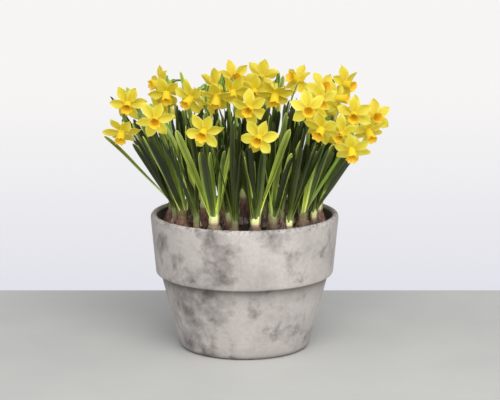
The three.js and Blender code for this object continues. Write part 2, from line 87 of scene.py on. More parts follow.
# Each stain's bearing from the front in degrees, its height, the pot's radius there, and its reach.
STAINS = [
    (-17, 0.168, 0.124, 0.018),
    (-14, 0.146, 0.122, 0.019),
    (-23, 0.130, 0.120, 0.013),
    (-15, 0.118, 0.120, 0.016),
    (-35, 0.112, 0.119, 0.013),
    (-49, 0.134, 0.121, 0.011),
    (-61, 0.148, 0.122, 0.015),
    (14, 0.168, 0.124, 0.018),
    (20, 0.156, 0.123, 0.015),
    (28, 0.146, 0.122, 0.013),
    (37, 0.118, 0.120, 0.009),
    (61, 0.146, 0.122, 0.012),
    (13, 0.096, 0.113, 0.009),
    (-45, 0.086, 0.108, 0.029),
    (-47, 0.066, 0.103, 0.026),
    (-34, 0.078, 0.106, 0.024),
    (-23, 0.088, 0.109, 0.020),
    (-22, 0.062, 0.102, 0.014),
    (-41, 0.044, 0.098, 0.018),
    (-52, 0.024, 0.092, 0.018),
    (-33, 0.008, 0.088, 0.012),
    (-9, 0.006, 0.088, 0.009),
    (8, 0.072, 0.105, 0.009),
    (25, 0.046, 0.099, 0.011),
    (44, 0.036, 0.096, 0.013),
    (62, 0.020, 0.092, 0.013),
    (120, 0.140, 0.121, 0.020),
    (150, 0.060, 0.102, 0.022),
    (-110, 0.050, 0.100, 0.024),
    (-150, 0.130, 0.120, 0.020),
]


def plain_shape(add_shape, name, **settings):
    """Adds one of Blender's plain shapes, which is then the only one selected."""
    bpy.ops.object.select_all(action="DESELECT")
    add_shape(**settings)
    piece = bpy.context.object
    piece.name = name
    return piece


def turned_piece(name, profile, sides):
    """A piece raised ring by ring from a disc: each (radius, z) is one extrusion, scaled in."""
    radius, z = profile[0]
    piece = plain_shape(
        bpy.ops.mesh.primitive_circle_add, name,
        vertices=sides, radius=radius, fill_type="NGON", location=(0, 0, z),
    )
    bpy.ops.object.mode_set(mode="EDIT")
    bpy.ops.mesh.select_all(action="SELECT")
    for wide, high in profile[1:]:
        bpy.ops.mesh.extrude_region_move(TRANSFORM_OT_translate={"value": (0, 0, high - z)})
        grow = wide / radius
        bpy.ops.transform.resize(value=(grow, grow, 1), center_override=(0, 0, high))
        radius, z = wide, high
    bpy.ops.mesh.select_all(action="SELECT")
    bpy.ops.mesh.normals_make_consistent(inside=False)
    bpy.ops.object.mode_set(mode="OBJECT")
    bpy.ops.object.transform_apply(location=True, rotation=True, scale=True)
    bpy.ops.object.shade_smooth()
    return piece


def finish_modifier(piece, kind, **settings):
    """Adds one modifier to a piece and applies it."""
    bpy.ops.object.select_all(action="DESELECT")
    bpy.context.view_layer.objects.active = piece
    piece.select_set(True)
    modifier = piece.modifiers.new(kind.title(), kind)
    for key, value in settings.items():
        setattr(modifier, key, value)
    bpy.ops.object.modifier_apply(modifier=modifier.name)


def place_in_plant(piece, node):
    """The piece moves with the plant's body and stands for its CAD node."""
    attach(piece, "root")
    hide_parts(node)


def opaque(colour):
    """A colour as Blender takes it. A single number is a grey."""
    if isinstance(colour, (int, float)):
        colour = (colour, colour, colour)
    return (*colour, 1)


def feed(tree, node, settings):
    """Feeds the named inputs of a node: a socket is linked to its input, and a value is set."""
    for label, value in settings.items():
        socket = node.inputs[label]
        if isinstance(value, bpy.types.NodeSocket):
            tree.links.new(value, socket)
        else:
            socket.default_value = opaque(value) if socket.type == "RGBA" else value


def add_node(tree, kind, settings, **choices):
    """Adds a node, makes its choices and feeds its inputs. It returns what the node puts out."""
    node = tree.nodes.new(f"ShaderNode{kind}")
    for choice, value in choices.items():
        setattr(node, choice, value)
    feed(tree, node, settings)
    return node.outputs


def new_material(name):
    """A material with its node tree, its shader and its object coordinates."""
    material = bpy.data.materials.new(name)
    material.use_nodes = True
    tree = material.node_tree
    return material, tree, tree.nodes["Principled BSDF"], add_node(tree, "TexCoord", {})["Object"]


def new_group(name, inputs, outputs):
    """A shader node group: its tree, what its inputs give, and the node that takes its outputs."""
    group = bpy.data.node_groups.new(name, "ShaderNodeTree")
    for label, kind in inputs.items():
        group.interface.new_socket(label, in_out="INPUT", socket_type=f"NodeSocket{kind}")
    for label, kind in outputs.items():
        group.interface.new_socket(label, in_out="OUTPUT", socket_type=f"NodeSocket{kind}")
    return group, group.nodes.new("NodeGroupInput").outputs, group.nodes.new("NodeGroupOutput")


def blend(tree, factor, first, second, mode="MIX"):
    """Two colours mixed. The factor and the colours may be sockets or plain values."""
    settings = {0: factor, 6: first, 7: second}
    return add_node(tree, "Mix", settings, data_type="RGBA", blend_type=mode)[2]


def level_of(tree, value, low, high):
    """How far a value is from a low level to a high one, from 0 to 1."""
    settings = {"Value": value, "From Min": low, "From Max": high}
    return add_node(tree, "MapRange", settings)["Result"]


def mix_by_level(tree, pattern, given):
    """Inside a group: the low colour up to the low level, and the high one from the high level."""
    level = level_of(tree, pattern, given["Low Level"], given["High Level"])
    return blend(tree, level, given["Low Colour"], given["High Colour"])


mottle, given, gives = new_group(
    "mottle",
    {
        "Where": "Vector", "Stretch": "Vector", "Scale": "Float", "Detail": "Float",
        "Roughness": "Float", "Low Level": "Float", "High Level": "Float",
        "Low Colour": "Color", "High Colour": "Color",
    },
    {"Colour": "Color", "Pattern": "Float"},
)
stretched = add_node(mottle, "Mapping", {"Vector": given["Where"], "Scale": given["Stretch"]})
settings = {label: given[label] for label in ("Scale", "Detail", "Roughness")}
pattern = add_node(mottle, "TexNoise", {"Vector": stretched["Vector"]} | settings)["Fac"]
feed(mottle, gives, {"Colour": mix_by_level(mottle, pattern, given), "Pattern": pattern})


def noise(tree, where, scale, detail, stretch=(1, 1, 1), roughness=0.5):
    """The pattern of a mottle alone."""
    settings = {
        "Where": where, "Stretch": stretch, "Scale": scale, "Detail": detail, "Roughness": roughness
    }
    return add_node(tree, "Group", settings, node_tree=mottle)["Pattern"]


def by_level(stops):
    """Two stops, each a level of the pattern and a colour, as the groups' inputs name them."""
    low, high = stops
    return {
        "Low Level": low[0], "High Level": high[0], "Low Colour": low[1], "High Colour": high[1]
    }


def mottled(tree, where, stops, scale, detail, stretch=(1, 1, 1), roughness=0.5):
    """A mottle of the colours of two stops."""
    settings = {
        "Where": where, "Stretch": stretch, "Scale": scale, "Detail": detail, "Roughness": roughness
    }
    return add_node(tree, "Group", settings | by_level(stops), node_tree=mottle)["Colour"]


def ramp(tree, factor, *stops):
    """Colours along a factor, from (place, colour) stops."""
    node = tree.nodes.new("ShaderNodeValToRGB")
    while len(node.color_ramp.elements) < len(stops):
        node.color_ramp.elements.new(1)
    for element, (place, colour) in zip(node.color_ramp.elements, stops):
        element.position = place
        element.color = opaque(colour)
    feed(tree, node, {"Fac": factor})
    return node.outputs["Color"]


def math_node(tree, operation, *values):
    """A number worked out from other sockets or plain numbers."""
    return add_node(tree, "Math", dict(enumerate(values)), operation=operation)["Value"]


def vector_node(tree, operation, *values):
    """A node that works out a place, or a distance, from other sockets or plain values."""
    return add_node(tree, "VectorMath", dict(enumerate(values)), operation=operation)


def bump(tree, shader, height, strength, distance):
    """A bump from a height pattern, into the shader's normal."""
    settings = {"Height": height, "Strength": strength, "Distance": distance}
    feed(tree, shader, {"Normal": add_node(tree, "Bump", settings)["Normal"]})


def height_of(tree, where):
    """The height above the table, for a colour that changes with it."""
    return add_node(tree, "SeparateXYZ", {"Vector": where})["Z"]


def stain_nearness(tree, where):
    """How far a point is from the nearest stain, counted in the reach of that stain."""
    nearest = None
    for bearing, z, radius, reach in STAINS:
        bearing = math.radians(bearing)
        middle = (radius * math.sin(bearing), -radius * math.cos(bearing), z)
        apart = vector_node(tree, "DISTANCE", where, middle)["Value"]
        share = math_node(tree, "DIVIDE", apart, reach)
        nearest = share if nearest is None else math_node(tree, "MINIMUM", nearest, share)
    return nearest


def stain_tones(tree, where):
    """The stains: one noise bends them out of round, and a finer one frays their edges."""
    uneven = add_node(tree, "TexNoise", {"Vector": where, "Scale": 48, "Detail": 5})["Color"]
    offset = vector_node(tree, "SUBTRACT", uneven, (0.5, 0.5, 0.5))["Vector"]
    bent = vector_node(tree, "MULTIPLY_ADD", offset, STAIN_WANDER, where)["Vector"]
    fraying = noise(tree, where, scale=38, detail=7, roughness=0.72)
    far = math_node(tree, "MULTIPLY_ADD", fraying, STAIN_RAGGEDNESS, stain_nearness(tree, bent))
    return ramp(tree, math_node(tree, "MULTIPLY", far, STAIN_RANGE), *STAIN_TONES)


limewash, tree, shader, where = new_material("limewashed_clay")
height = height_of(tree, where)
washes = ramp(tree, noise(tree, where, scale=9, detail=3), *WASH_GREYS)
clouds = mottled(tree, where, CLOUDS, scale=14, detail=6, roughness=0.68)
small_clouds = mottled(tree, where, SMALL_CLOUDS, scale=48, detail=4)
# A painted shade in the step under the band, and a darker foot.
band_shade_and_dark_foot = ramp(tree, height, *TONES_UP_THE_POT)
specks = mottled(tree, where, SPECKS, scale=210, detail=4, roughness=0.7)
rim_specks = blend(tree, ramp(tree, height, *SPECKED_RIM), 1, specks)
grit = mottled(tree, where, GRIT, scale=240, detail=3)
clay_colour = washes
for tones in (clouds, small_clouds, stain_tones(tree, where), band_shade_and_dark_foot, rim_specks, grit):
    clay_colour = blend(tree, 1.0, clay_colour, tones, "MULTIPLY")
feed(tree, shader, {"Base Color": clay_colour, "Roughness": 0.92, "Specular IOR Level": 0.25})
grain = noise(tree, where, scale=120, detail=5, roughness=0.6)
bump(tree, shader, grain, strength=0.2, distance=0.0012)

# Bare clay for the inside of the wall, painted dark as the shade that falls inside the pot.
shaded_inner_clay, tree, shader, where = new_material("shaded_inner_clay")
browns = mottled(tree, where, INNER_SHADE_BROWNS, scale=30, detail=5)
feed(tree, shader, {"Base Color": browns, "Roughness": 0.8})
bump(tree, shader, noise(tree, where, scale=150, detail=5), strength=0.3, distance=0.001)

inner = RIM_RADIUS - WALL
pot = turned_piece(
    "clay_pot",
    [
        (FOOT_RADIUS - EDGE, 0),
        (FOOT_RADIUS, EDGE),
        (CHAMFER_RADIUS, CHAMFER_Z),
        (UNDERCUT_RADIUS, UNDERCUT_Z),
        (BAND_FOOT_RADIUS, BAND_FOOT_Z),
        (RIM_RADIUS, POT_HEIGHT - EDGE),
        (RIM_RADIUS - EDGE / 2, POT_HEIGHT),
        (inner + EDGE / 2, POT_HEIGHT),
        (inner, POT_HEIGHT - EDGE),
        (CHAMFER_RADIUS - WALL, CHAMFER_Z),
        (FOOT_RADIUS - WALL, FLOOR),
    ],
    POT_SIDES,
)
finish_modifier(
    pot, "BEVEL", width=SOFT_EDGE, segments=3, limit_method="ANGLE", angle_limit=math.radians(15)
)
pot.data.materials.append(limewash)
pot.data.materials.append(shaded_inner_clay)
# The inner wall's faces take the dark clay, a painted shade.
for face in pot.data.polygons:
    middle = face.center
    inwards = face.normal.x * middle.x + face.normal.y * middle.y < 0
    if inwards and FLOOR < middle.z < POT_HEIGHT - EDGE:
        face.material_index = 1
place_in_plant(pot, "pot")


# The compost: dark, damp and crumbly, filled to a finger's width below the rim. Coarse crumbs lie
# loose on it between the bulbs.
SOIL_Z = 0.166
SOIL_RADIUS = 0.1155
SOIL_DEPTH = 0.03
SOIL_TAPER = 0.003
SOIL_SHOULDER = 0.004
SOIL_TOP_SHARE = 0.98
SOIL_SIDES = 64
SOIL_RINGS = 15
RING_STEP = 0.06
HUMMOCKS = [(0.0022, 17), (0.0012, 4)]
CRUMBS = 420
CRUMB_SIZES = (0.0008, 0.0026)
CRUMB_BREADTHS = (0.7, 1.3)
CRUMB_HEIGHTS = (0.5, 1.0)
CRUMB_RAISED = 0.6
ANY_TURN = (0, 6.3)
CLEAR_OF_WALL = 0.006
EARTH_BROWNS = [
    (0.30, (0.010, 0.007, 0.005)),
    (0.52, (0.040, 0.026, 0.018)),
    (0.74, (0.110, 0.072, 0.048)),
]

compost, tree, shader, where = new_material("damp_compost")
earth = ramp(tree, noise(tree, where, scale=130, detail=6), *EARTH_BROWNS)
feed(tree, shader, {"Base Color": earth, "Roughness": 0.95})
bump(tree, shader, noise(tree, where, scale=420, detail=6), strength=0.7, distance=0.0015)


def smooth_noise(x, y, seed=0.0):
    """A gentle unevenness from -1 to 1 that never repeats within the pot."""
    return (
        math.sin(x * 1.7 + seed + 1.3 * math.sin(y * 0.9 + seed))
        + math.sin(y * 2.3 - seed + 1.1 * math.sin(x * 1.2 + 2.0 * seed))
    ) / 2


soil = turned_piece(
    "loose_compost",
    [
        (SOIL_RADIUS - SOIL_TAPER, SOIL_Z - SOIL_DEPTH),
        (SOIL_RADIUS, SOIL_Z - SOIL_SHOULDER),
        *[
            (SOIL_RADIUS * (SOIL_TOP_SHARE - RING_STEP * step), SOIL_Z)
            for step in range(SOIL_RINGS + 1)
        ],
    ],
    SOIL_SIDES,
)
for vertex in soil.data.vertices:
    if vertex.co.z > SOIL_Z - SOIL_SHOULDER / 2:
        x, y = vertex.co.x * 1000, vertex.co.y * 1000
        vertex.co.z += sum(tall * smooth_noise(x / wide, y / wide) for tall, wide in HUMMOCKS)

state = 4711


def draw(low=0.0, high=1.0):
    """The next of a run of numbers that is the same each time."""
    global state
    state = state * 16807 % 2147483647
    return low + (high - low) * state / 2147483647


def copied(template, place):
    """A copy of a template's mesh, each of its points put where place says."""
    mesh = template.data.copy()
    for vertex in mesh.vertices:
        vertex.co = place(vertex.co)
    return mesh


def joined(name, meshes, materials):
    """One piece from many meshes, whose faces keep their places in the list of materials."""
    whole = bmesh.new()
    for mesh in meshes:
        whole.from_mesh(mesh)
    data = bpy.data.meshes.new(name)
    whole.to_mesh(data)
    whole.free()
    for material in materials:
        data.materials.append(material)
    piece = bpy.data.objects.new(name, data)
    bpy.context.collection.objects.link(piece)
    for mesh in meshes:
        bpy.data.meshes.remove(mesh)
    return piece


def put_away(template):
    """Removes a template once its copies are made."""
    bpy.data.objects.remove(template)


crumb = plain_shape(bpy.ops.mesh.primitive_ico_sphere_add, "crumb", subdivisions=1, radius=1)
grains = [soil.data.copy()]
for _ in range(CRUMBS):
    far = math.sqrt(draw()) * (SOIL_RADIUS - CLEAR_OF_WALL)
    bearing = draw(0, 2 * math.pi)
    size = Vector([draw(*span) for span in (CRUMB_BREADTHS, CRUMB_BREADTHS, CRUMB_HEIGHTS)])
    size *= draw(*CRUMB_SIZES)
    spin = Matrix.Rotation(draw(*ANY_TURN), 3, "Z") @ Matrix.Rotation(draw(*ANY_TURN), 3, "X")
    raised = SOIL_Z + size.z * CRUMB_RAISED
    middle = Vector((far * math.cos(bearing), far * math.sin(bearing), raised))
    grains.append(copied(crumb, lambda p: middle + spin @ (p * size)))
put_away(crumb)
put_away(soil)
soil = joined("loose_compost", grains, [compost])
place_in_plant(soil, "soil")


# The bulbs: each a fleshy bulb in brown papery skins, half out of the soil. The skins are ribbed
# from base to neck, paler towards the neck, and the outermost one is torn and stands off. Small
# side bulbs fill the room between the large ones.
BULB_RADIUS = 0.015
BULB_DEPTH = 0.026
BULB_SIDES = 36
BULB_PROFILE = [
    (0.30, 0.00), (0.70, 0.05), (0.93, 0.18), (1.00, 0.34), (0.97, 0.48), (0.88, 0.60), (0.74, 0.72),
    (0.60, 0.83), (0.48, 0.93), (0.42, 1.00),
]
BULB_GIRTHS = (0.97, 1.12)
BULB_RIBS = 11
BULB_RIB_DEPTH = 0.030
FINE_RIBS = 23
FINE_RIB_DEPTH = 0.02
BULB_DENTS = 0.0006
BULB_BELOW_NECK = 0.0005
TORN_AT = (0.55, 0.80)
TEARS = 0.15
SMALL_TEARS = 0.10
LOOSE_FOOT = 0.25
LOOSE_FROM = 0.45
LOOSE_BY = 0.0026
LOOSE_GAP = 0.0005
# Each neck's bulb, and its place in millimetres. A bulb with two necks has two rows.
NOSES = [
    (1, -95, 8, 184),
    (2, -80, -50, 183),
    (3, -39, -87, 182),
    (4, 14, -93, 182),
    (4, 37, -80, 183),
    (5, 76, -58, 183),
    (6, 97, -6, 184),
    (7, 86, 46, 185),
    (8, 44, 86, 185),
    (9, -14, 95, 186),
    (10, -72, 63, 185),
    (11, -52, -22, 190),
    (12, -2, 8, 198),
    (12, 23, 0, 195),
]
SKIN_ORDER = (0, 1, 1, 2, 0)
SKIN_STRETCH = (7, 7, 0.8)
SKIN_RIBS = [(0.42, 0), (0.66, 1)]
SKIN_BLOTCHES = [(0.38, 0.45), (0.60, 1.15)]
SKIN_NECK = [(0.82, 0), (1.0, 0.8)]
SIDE_BULB = 0.68
# The large bulb that each side bulb belongs with, and the place of its own neck.
SIDE_BULBS = [
    (2, -62, -72, 177),
    (3, -12, -94, 177),
    (4, 58, -75, 177),
    (5, 91, -33, 178),
    (6, 95, 21, 178),
    (7, 66, 70, 179),
    (8, 15, 96, 179),
    (9, -44, 84, 179),
    (10, -89, 37, 178),
    (1, -91, -22, 178),
    (11, -20, -55, 179),
    (4, 15, -56, 179),
    (12, 48, -40, 181),
    (12, 60, -8, 182),
    (12, 52, 30, 182),
    (12, 20, 45, 183),
    (9, -20, 48, 183),
    (10, -50, 30, 182),
    (11, -28, -14, 183),
    (1, -66, 6, 181),
    (12, 26, -28, 183),
]


def own_value(tree, name):
    """The value of a piece's own named attribute."""
    return add_node(tree, "Attribute", {}, attribute_name=name)["Fac"]


def paper_skin(name, base, neck, rib):
    """A papery skin: ribs and blotches in its base colour, paler up to the neck."""
    material, tree, shader, where = new_material(name)
    height = own_value(tree, "height")
    ribs = noise(tree, where, scale=75, detail=5, stretch=SKIN_STRETCH)
    blotches = mottled(tree, where, SKIN_BLOTCHES, scale=110, detail=5)
    skin = blend(tree, ramp(tree, ribs, *SKIN_RIBS), base, rib)
    skin = blend(tree, 1.0, skin, blotches, "MULTIPLY")
    skin = blend(tree, ramp(tree, height, *SKIN_NECK), skin, neck)
    feed(tree, shader, {"Base Color": skin, "Roughness": 0.62})
    bump(tree, shader, ribs, strength=0.5, distance=0.0012)
    return material


skins = [
    paper_skin("brown_skin", (0.055, 0.030, 0.022), (0.22, 0.16, 0.09), (0.17, 0.10, 0.07)),
    paper_skin("red_brown_skin", (0.115, 0.045, 0.030), (0.26, 0.16, 0.10), (0.30, 0.15, 0.10)),
    paper_skin("pale_skin", (0.11, 0.066, 0.050), (0.32, 0.27, 0.17), (0.28, 0.20, 0.15)),
]
torn_paper = paper_skin("torn_paper", (0.17, 0.11, 0.085), (0.60, 0.52, 0.42), (0.55, 0.45, 0.37))

bulb_shape = turned_piece("bulb", BULB_PROFILE, BULB_SIDES)
finish_modifier(bulb_shape, "SUBSURF", levels=1, render_levels=1)
heights = bulb_shape.data.attributes.new("height", "FLOAT", "POINT")
for vertex, height in zip(bulb_shape.data.vertices, heights.data):
    height.value = vertex.co.z


def torn_skin(template, cut, around):
    """A loose outer skin: a copy of a bulb without what is above a ragged edge."""
    mesh = template.data.copy()
    shell = bmesh.new()
    shell.from_mesh(mesh)
    gone = []
    for face in shell.faces:
        middle = face.calc_center_median()
        bearing = math.atan2(middle.y, middle.x)
        tear = TEARS * math.sin(3 * bearing + around) + SMALL_TEARS * math.sin(8 * bearing - around)
        if middle.z > cut + tear or middle.z < LOOSE_FOOT:
            gone.append(face)
    bmesh.ops.delete(shell, geom=gone, context="FACES")
    shell.to_mesh(mesh)
    shell.free()
    return mesh


bulbs = {}
for k, (bulb, nose_x, nose_y, nose_z) in enumerate(NOSES + SIDE_BULBS):
    scale = 1 if k < len(NOSES) else SIDE_BULB
    neck = Vector((nose_x, nose_y, nose_z)) / 1000
    foot = SOIL_Z - BULB_DEPTH * scale
    tall = neck.z - foot
    turn = draw(0, 2 * math.pi)
    girth = draw(*BULB_GIRTHS)
    seed = draw(0, 20)

    def bulb_point(p, stand_off=0.0):
        bearing = math.atan2(p.y, p.x) + turn
        out = math.hypot(p.x, p.y)
        ribs = BULB_RIB_DEPTH * math.sin(BULB_RIBS * bearing + seed) * (1 - p.z)
        fine_ribs = FINE_RIB_DEPTH * math.sin(FINE_RIBS * bearing + 9 * p.z + seed)
        reach = out * BULB_RADIUS * scale * girth * (1 + ribs + fine_ribs) + stand_off
        reach += BULB_DENTS * smooth_noise(bearing * 2, p.z * 6, seed)
        return Vector((
            neck.x + reach * math.cos(bearing),
            neck.y + reach * math.sin(bearing),
            foot + p.z * (tall - BULB_BELOW_NECK),
        ))

    body = copied(bulb_shape, bulb_point)
    loose = torn_skin(bulb_shape, draw(*TORN_AT), draw(*ANY_TURN))
    for vertex in loose.vertices:
        p = vertex.co.copy()
        folds = 1 + math.sin(6 * math.atan2(p.y, p.x) + seed)
        vertex.co = bulb_point(p, LOOSE_GAP + LOOSE_BY * max(0.0, p.z - LOOSE_FROM) * folds)
    loose.polygons.foreach_set("material_index", [1] * len(loose.polygons))
    bulbs.setdefault(bulb, []).extend([body, loose])
put_away(bulb_shape)
for number, shells in bulbs.items():
    skin = skins[SKIN_ORDER[number % len(SKIN_ORDER)]]
    piece = joined(f"bulb_{number:02d}_skins", shells, [skin, torn_paper])
    place_in_plant(piece, f"bulb_{number:02d}")


# The tufts: from each neck come strap leaves and the stems of the flowers, held by a collar of old
# skin. They follow growth lines that lean out from the pot's axis and bow a little. The rule and its
# drawn numbers are those of the CAD source, and a second, closer run adds the leaves between.
# The sizes of leaves, stems and flowers are in millimetres, as in the CAD source.
PETAL_LENGTH = 26
TUBE_LENGTH = 15
OVARY_LENGTH = 7
# Each flower's middle in millimetres, the way it faces in degrees (round from straight ahead, then
# up), how far its petals are turned, and its size. A stem leads to each.
FLOWERS = [
    ((-161, -15, 291), (-8, -42), 30, 1),
    ((-155, 25, 322), (-6, -20), 30, 1),
    ((-114, -90, 318), (0, -8), 38, 1),
    ((-112, 72, 343), (-58, -5), 20, 1),
    ((-103, 15, 338), (0, -40), 30, 1),
    ((-69, -25, 337), (-38, -30), 5, 1),
    ((-51, -120, 308), (-13, -20), 35, 1),
    ((-40, 50, 342), (150, 0), 0, 1),
    ((-15, 87, 348), (15, 5), 10, 1),
    ((-35, -30, 341), (-20, -55), 0, 1),
    ((-16, 10, 340), (0, -30), 30, 1),
    ((7, -65, 329), (-13, -10), 5, 1),
    ((13, 36, 337), (0, -20), 0, 1),
    ((23, 95, 349), (170, 0), 15, 1),
    ((40, -20, 342), (-10, -50), 30, 1),
    ((18, -125, 301), (-11, -14), 34, 1),
    ((104, 73, 335), (26, 20), 15, 1),
    ((81, -95, 332), (-3, -3), 10, 1),
    ((98, -15, 332), (5, -15), 0, 1),
    ((123, 45, 326), (65, 0), 15, 1),
    ((136, 95, 339), (42, -7), 5, 1),
    ((144, 0, 311), (-5, -12), 0, 1),
    ((175, 60, 298), (12, 8), 0, 1),
    ((164, 20, 286), (20, -38), 10, 1),
    ((73, 110, 341), (-48, 25), 0, 1),
    ((126, -50, 293), (-22, -8), 0, 1),
    ((98, -106, 309), (-26, -29), 0, 1),
    ((136, -98, 281), (0, -38), 10, 1),
    ((-112, 108, 306), (215, -15), 15, 1),
    ((-45, 135, 312), (190, -10), 0, 1),
    ((36, 140, 314), (165, -15), 20, 1),
    ((115, 118, 300), (140, -10), 10, 1),
]
UP = Vector((0, 0, 1))


class Bloom:
    """Where a flower is and how it stands: its middle, its axis and its spokes."""

    def __init__(self, at, facing, turn, size):
        bearing, rise = map(math.radians, facing)
        self.middle = Vector(at)
        self.axis = Vector((
            math.sin(bearing) * math.cos(rise),
            -math.cos(bearing) * math.cos(rise),
            math.sin(rise),
        ))
        self.side = UP.cross(self.axis).normalized()
        self.top = self.axis.cross(self.side)
        self.turn = math.radians(90 + turn)
        self.size = size
        self.back = self.along(-TUBE_LENGTH - OVARY_LENGTH)

    def along(self, distance):
        return self.middle + self.axis * (distance * self.size)

    def spoke(self, angle):
        return (self.side * math.cos(angle) + self.top * math.sin(angle)) * self.size


blooms = [Bloom(*flower) for flower in FLOWERS]

CROWN = 10
LEAF_RING = 5.8
STEM_RING = 2.1
INNER_RING = 3.6
SIDE_RING = 3.4
LEAF_WIDTH = 10
LEAST_WIDTH = 0.75
WIDTH_RANGE = 0.45
MARKED_LEAF_WIDTH = 12
BOW = 0.12
BOW_HEIGHT = 150
LEAN = 0.0042
OUTERMOST = 95
MOST_STEMS = 4
ARCH_REACH = 12
ARCH_RISE = 14
ARCH_PULL = 11.2
FOREMOST_LEAVES = 2
MARKED_LEAVES = [
    (3, (-86, -112, 307), 10),
    (4, (57, -112, 309), -20),
    (1, (-159, 54, 340), 30),
    (12, (-84, 13, 367), 60),
    (14, (51, 45, 357), 40),
    (1, (-184, -8, 284), 60),
    (12, (-124, -12, 328), 20),
]
LEAVES_A_TUFT = 8
MORE_LEAVES_A_TUFT = 4
SIDE_LEAVES = 7
NARROWER = (0.5, 0.9)
TRIES = 60
WIDEST_SPREAD = 0.34
WIDEST_TWIST = 150
LEAF_TOP = 332
LEAF_TOP_FALL = 0.28
LEAF_TOP_RANGE = 34
LEAST_TOP = 250
APART = 10.5
APART_IN_TUFT = 6.5
TESTED_FROM = 20
TESTED_IN_TUFT_FROM = 60
TEST_STEP = 12
FREE_STEP = 2
LEAST_EXTRA_TOP = 270
CLOSER = 5.5
CLOSER_IN_TUFT = 4
WIDEST = 182
DEEPEST = 160
FLOWER_CLEAR = 27
ARCH_CLEAR = 10
FACE_STEP = (0, -24, 4)
FACE_STEPS = 3
FACE_CLEAR = 19
HIDING_DEPTH = 110
HIDING_CLEAR = 21
PETALS_HALF_DEPTH = 9
PETALS_CLEAR = 30
TRUMPET_REACH = 22
TRUMPET_CLEAR = 11


def bowed(rise):
    """A rise, stretched by the bow that grows with it."""
    return rise * (1 + BOW * (rise / BOW_HEIGHT) ** 2)


class GrowthLine:
    """The middle line of a leaf or stem, from a slot in the crown of its tuft to its target."""

    def __init__(self, nose, target):
        self.nose = nose
        self.start = nose[3] + CROWN
        self.height = target.z - self.start
        self.slope_x = (target.x - nose[1]) / bowed(self.height)
        self.slope_y = (target.y - nose[2]) / bowed(self.height)
        self.slot = (0.0, 0.0)
        self.foremost = False

    def point(self, rise):
        fade = 1 - rise / self.height
        return Vector((
            self.nose[1] + self.slope_x * bowed(rise) + self.slot[0] * fade,
            self.nose[2] + self.slope_y * bowed(rise) + self.slot[1] * fade,
            self.start + rise,
        ))

    def along(self, rise):
        return (self.point(rise + 1) - self.point(rise - 1)).normalized()


def nearest_nose(point, lines):
    """The nose whose tuft a point lies nearest to, of those that have room for a stem."""
    best, best_distance = None, None
    for nose in NOSES:
        if sum(line.nose is nose for line in lines) >= MOST_STEMS:
            continue
        spread = 1 + LEAN * bowed(point.z - nose[3] - CROWN)
        distance = math.hypot(point.x - nose[1] * spread, point.y - nose[2] * spread)
        if best is None or distance < best_distance:
            best, best_distance = nose, distance
    return best


stems = []
for bloom in blooms:
    top = bloom.back - bloom.axis * ARCH_REACH - UP * ARCH_RISE
    stems.append(GrowthLine(nearest_nose(top, stems), top))
kept_clear = []
for bloom in blooms:
    kept_clear.append((bloom.middle, FLOWER_CLEAR))
    kept_clear.append((bloom.back - bloom.axis * (ARCH_REACH / 2), ARCH_CLEAR))
    for step in range(FACE_STEPS):
        kept_clear.append((bloom.middle + Vector(FACE_STEP) * (step + 1), FACE_CLEAR))


def clear_of(line, lines, apart):
    """True if a line keeps away from the others, and behind the foremost, wherever both reach."""
    for other in lines:
        own = other.nose is line.nose
        least = apart[1] if own else apart[0]
        top = min(line.start + line.height, other.start + other.height)
        rise = TESTED_IN_TUFT_FROM if own else TESTED_FROM
        while line.start + rise < top:
            a = line.point(rise)
            b = other.point(line.start + rise - other.start)
            if math.hypot(a.x - b.x, a.y - b.y) < least:
                return False
            if other.foremost and a.y < b.y and abs(a.x - b.x) < APART:
                return False
            rise += TEST_STEP
    return True


def near_flower(point):
    """True within the room that the CAD's leaves leave round every flower."""
    return any((point - centre).length < radius for centre, radius in kept_clear)


def in_the_way(point):
    """True in a flower, where a leaf would hide one from the front, and far out from the pot."""
    if abs(point.x) > WIDEST or abs(point.y) > DEEPEST:
        return True
    for bloom in blooms:
        before = bloom.middle.y - point.y
        seen_at = bloom.middle - Vector(FACE_STEP) * (before / FACE_STEP[1])
        if 0 < before < HIDING_DEPTH and (point - seen_at).length < HIDING_CLEAR:
            return True
        ahead = (point - bloom.middle).dot(bloom.axis)
        out = (point - bloom.middle - bloom.axis * ahead).length
        if abs(ahead) < PETALS_HALF_DEPTH and out < PETALS_CLEAR:
            return True
        if -TUBE_LENGTH - OVARY_LENGTH < ahead < TRUMPET_REACH and out < TRUMPET_CLEAR:
            return True
    return False


def free_height(line, blocked):
    """How high a line can rise before it meets a flower."""
    rise = TESTED_FROM
    while rise < line.height:
        if blocked(line.point(rise)):
            return rise - FREE_STEP
        rise += FREE_STEP
    return line.height


class Leaf:
    """A leaf on its growth line, with its blade's twist or facing and its width."""

    def __init__(self, nose, tip, face=None):
        self.face = face
        self.twist = math.radians(WIDEST_TWIST) * (draw() - 0.5) if face is None else 0.0
        self.width = LEAF_WIDTH * (LEAST_WIDTH + WIDTH_RANGE * draw())
        if face is not None:
            self.width = MARKED_LEAF_WIDTH
        self.line = GrowthLine(nose, tip)


def drawn_leaf(nose):
    """A leaf with its tip somewhere round the tuft's lean."""
    turn = draw() * 2 * math.pi
    spread = math.sqrt(draw()) * WIDEST_SPREAD
    fall = LEAF_TOP_FALL * math.hypot(nose[1], nose[2])
    z = LEAF_TOP - fall + (2 * draw() - 1) * LEAF_TOP_RANGE
    run = bowed(z - nose[3] - CROWN)
    lean_x = nose[1] * LEAN * (nose[1] / OUTERMOST) ** 2
    x = nose[1] + (lean_x + math.cos(turn) * spread) * run
    y = nose[2] + (nose[2] * LEAN + math.sin(turn) * spread) * run
    return Leaf(nose, Vector((x, y, z)))


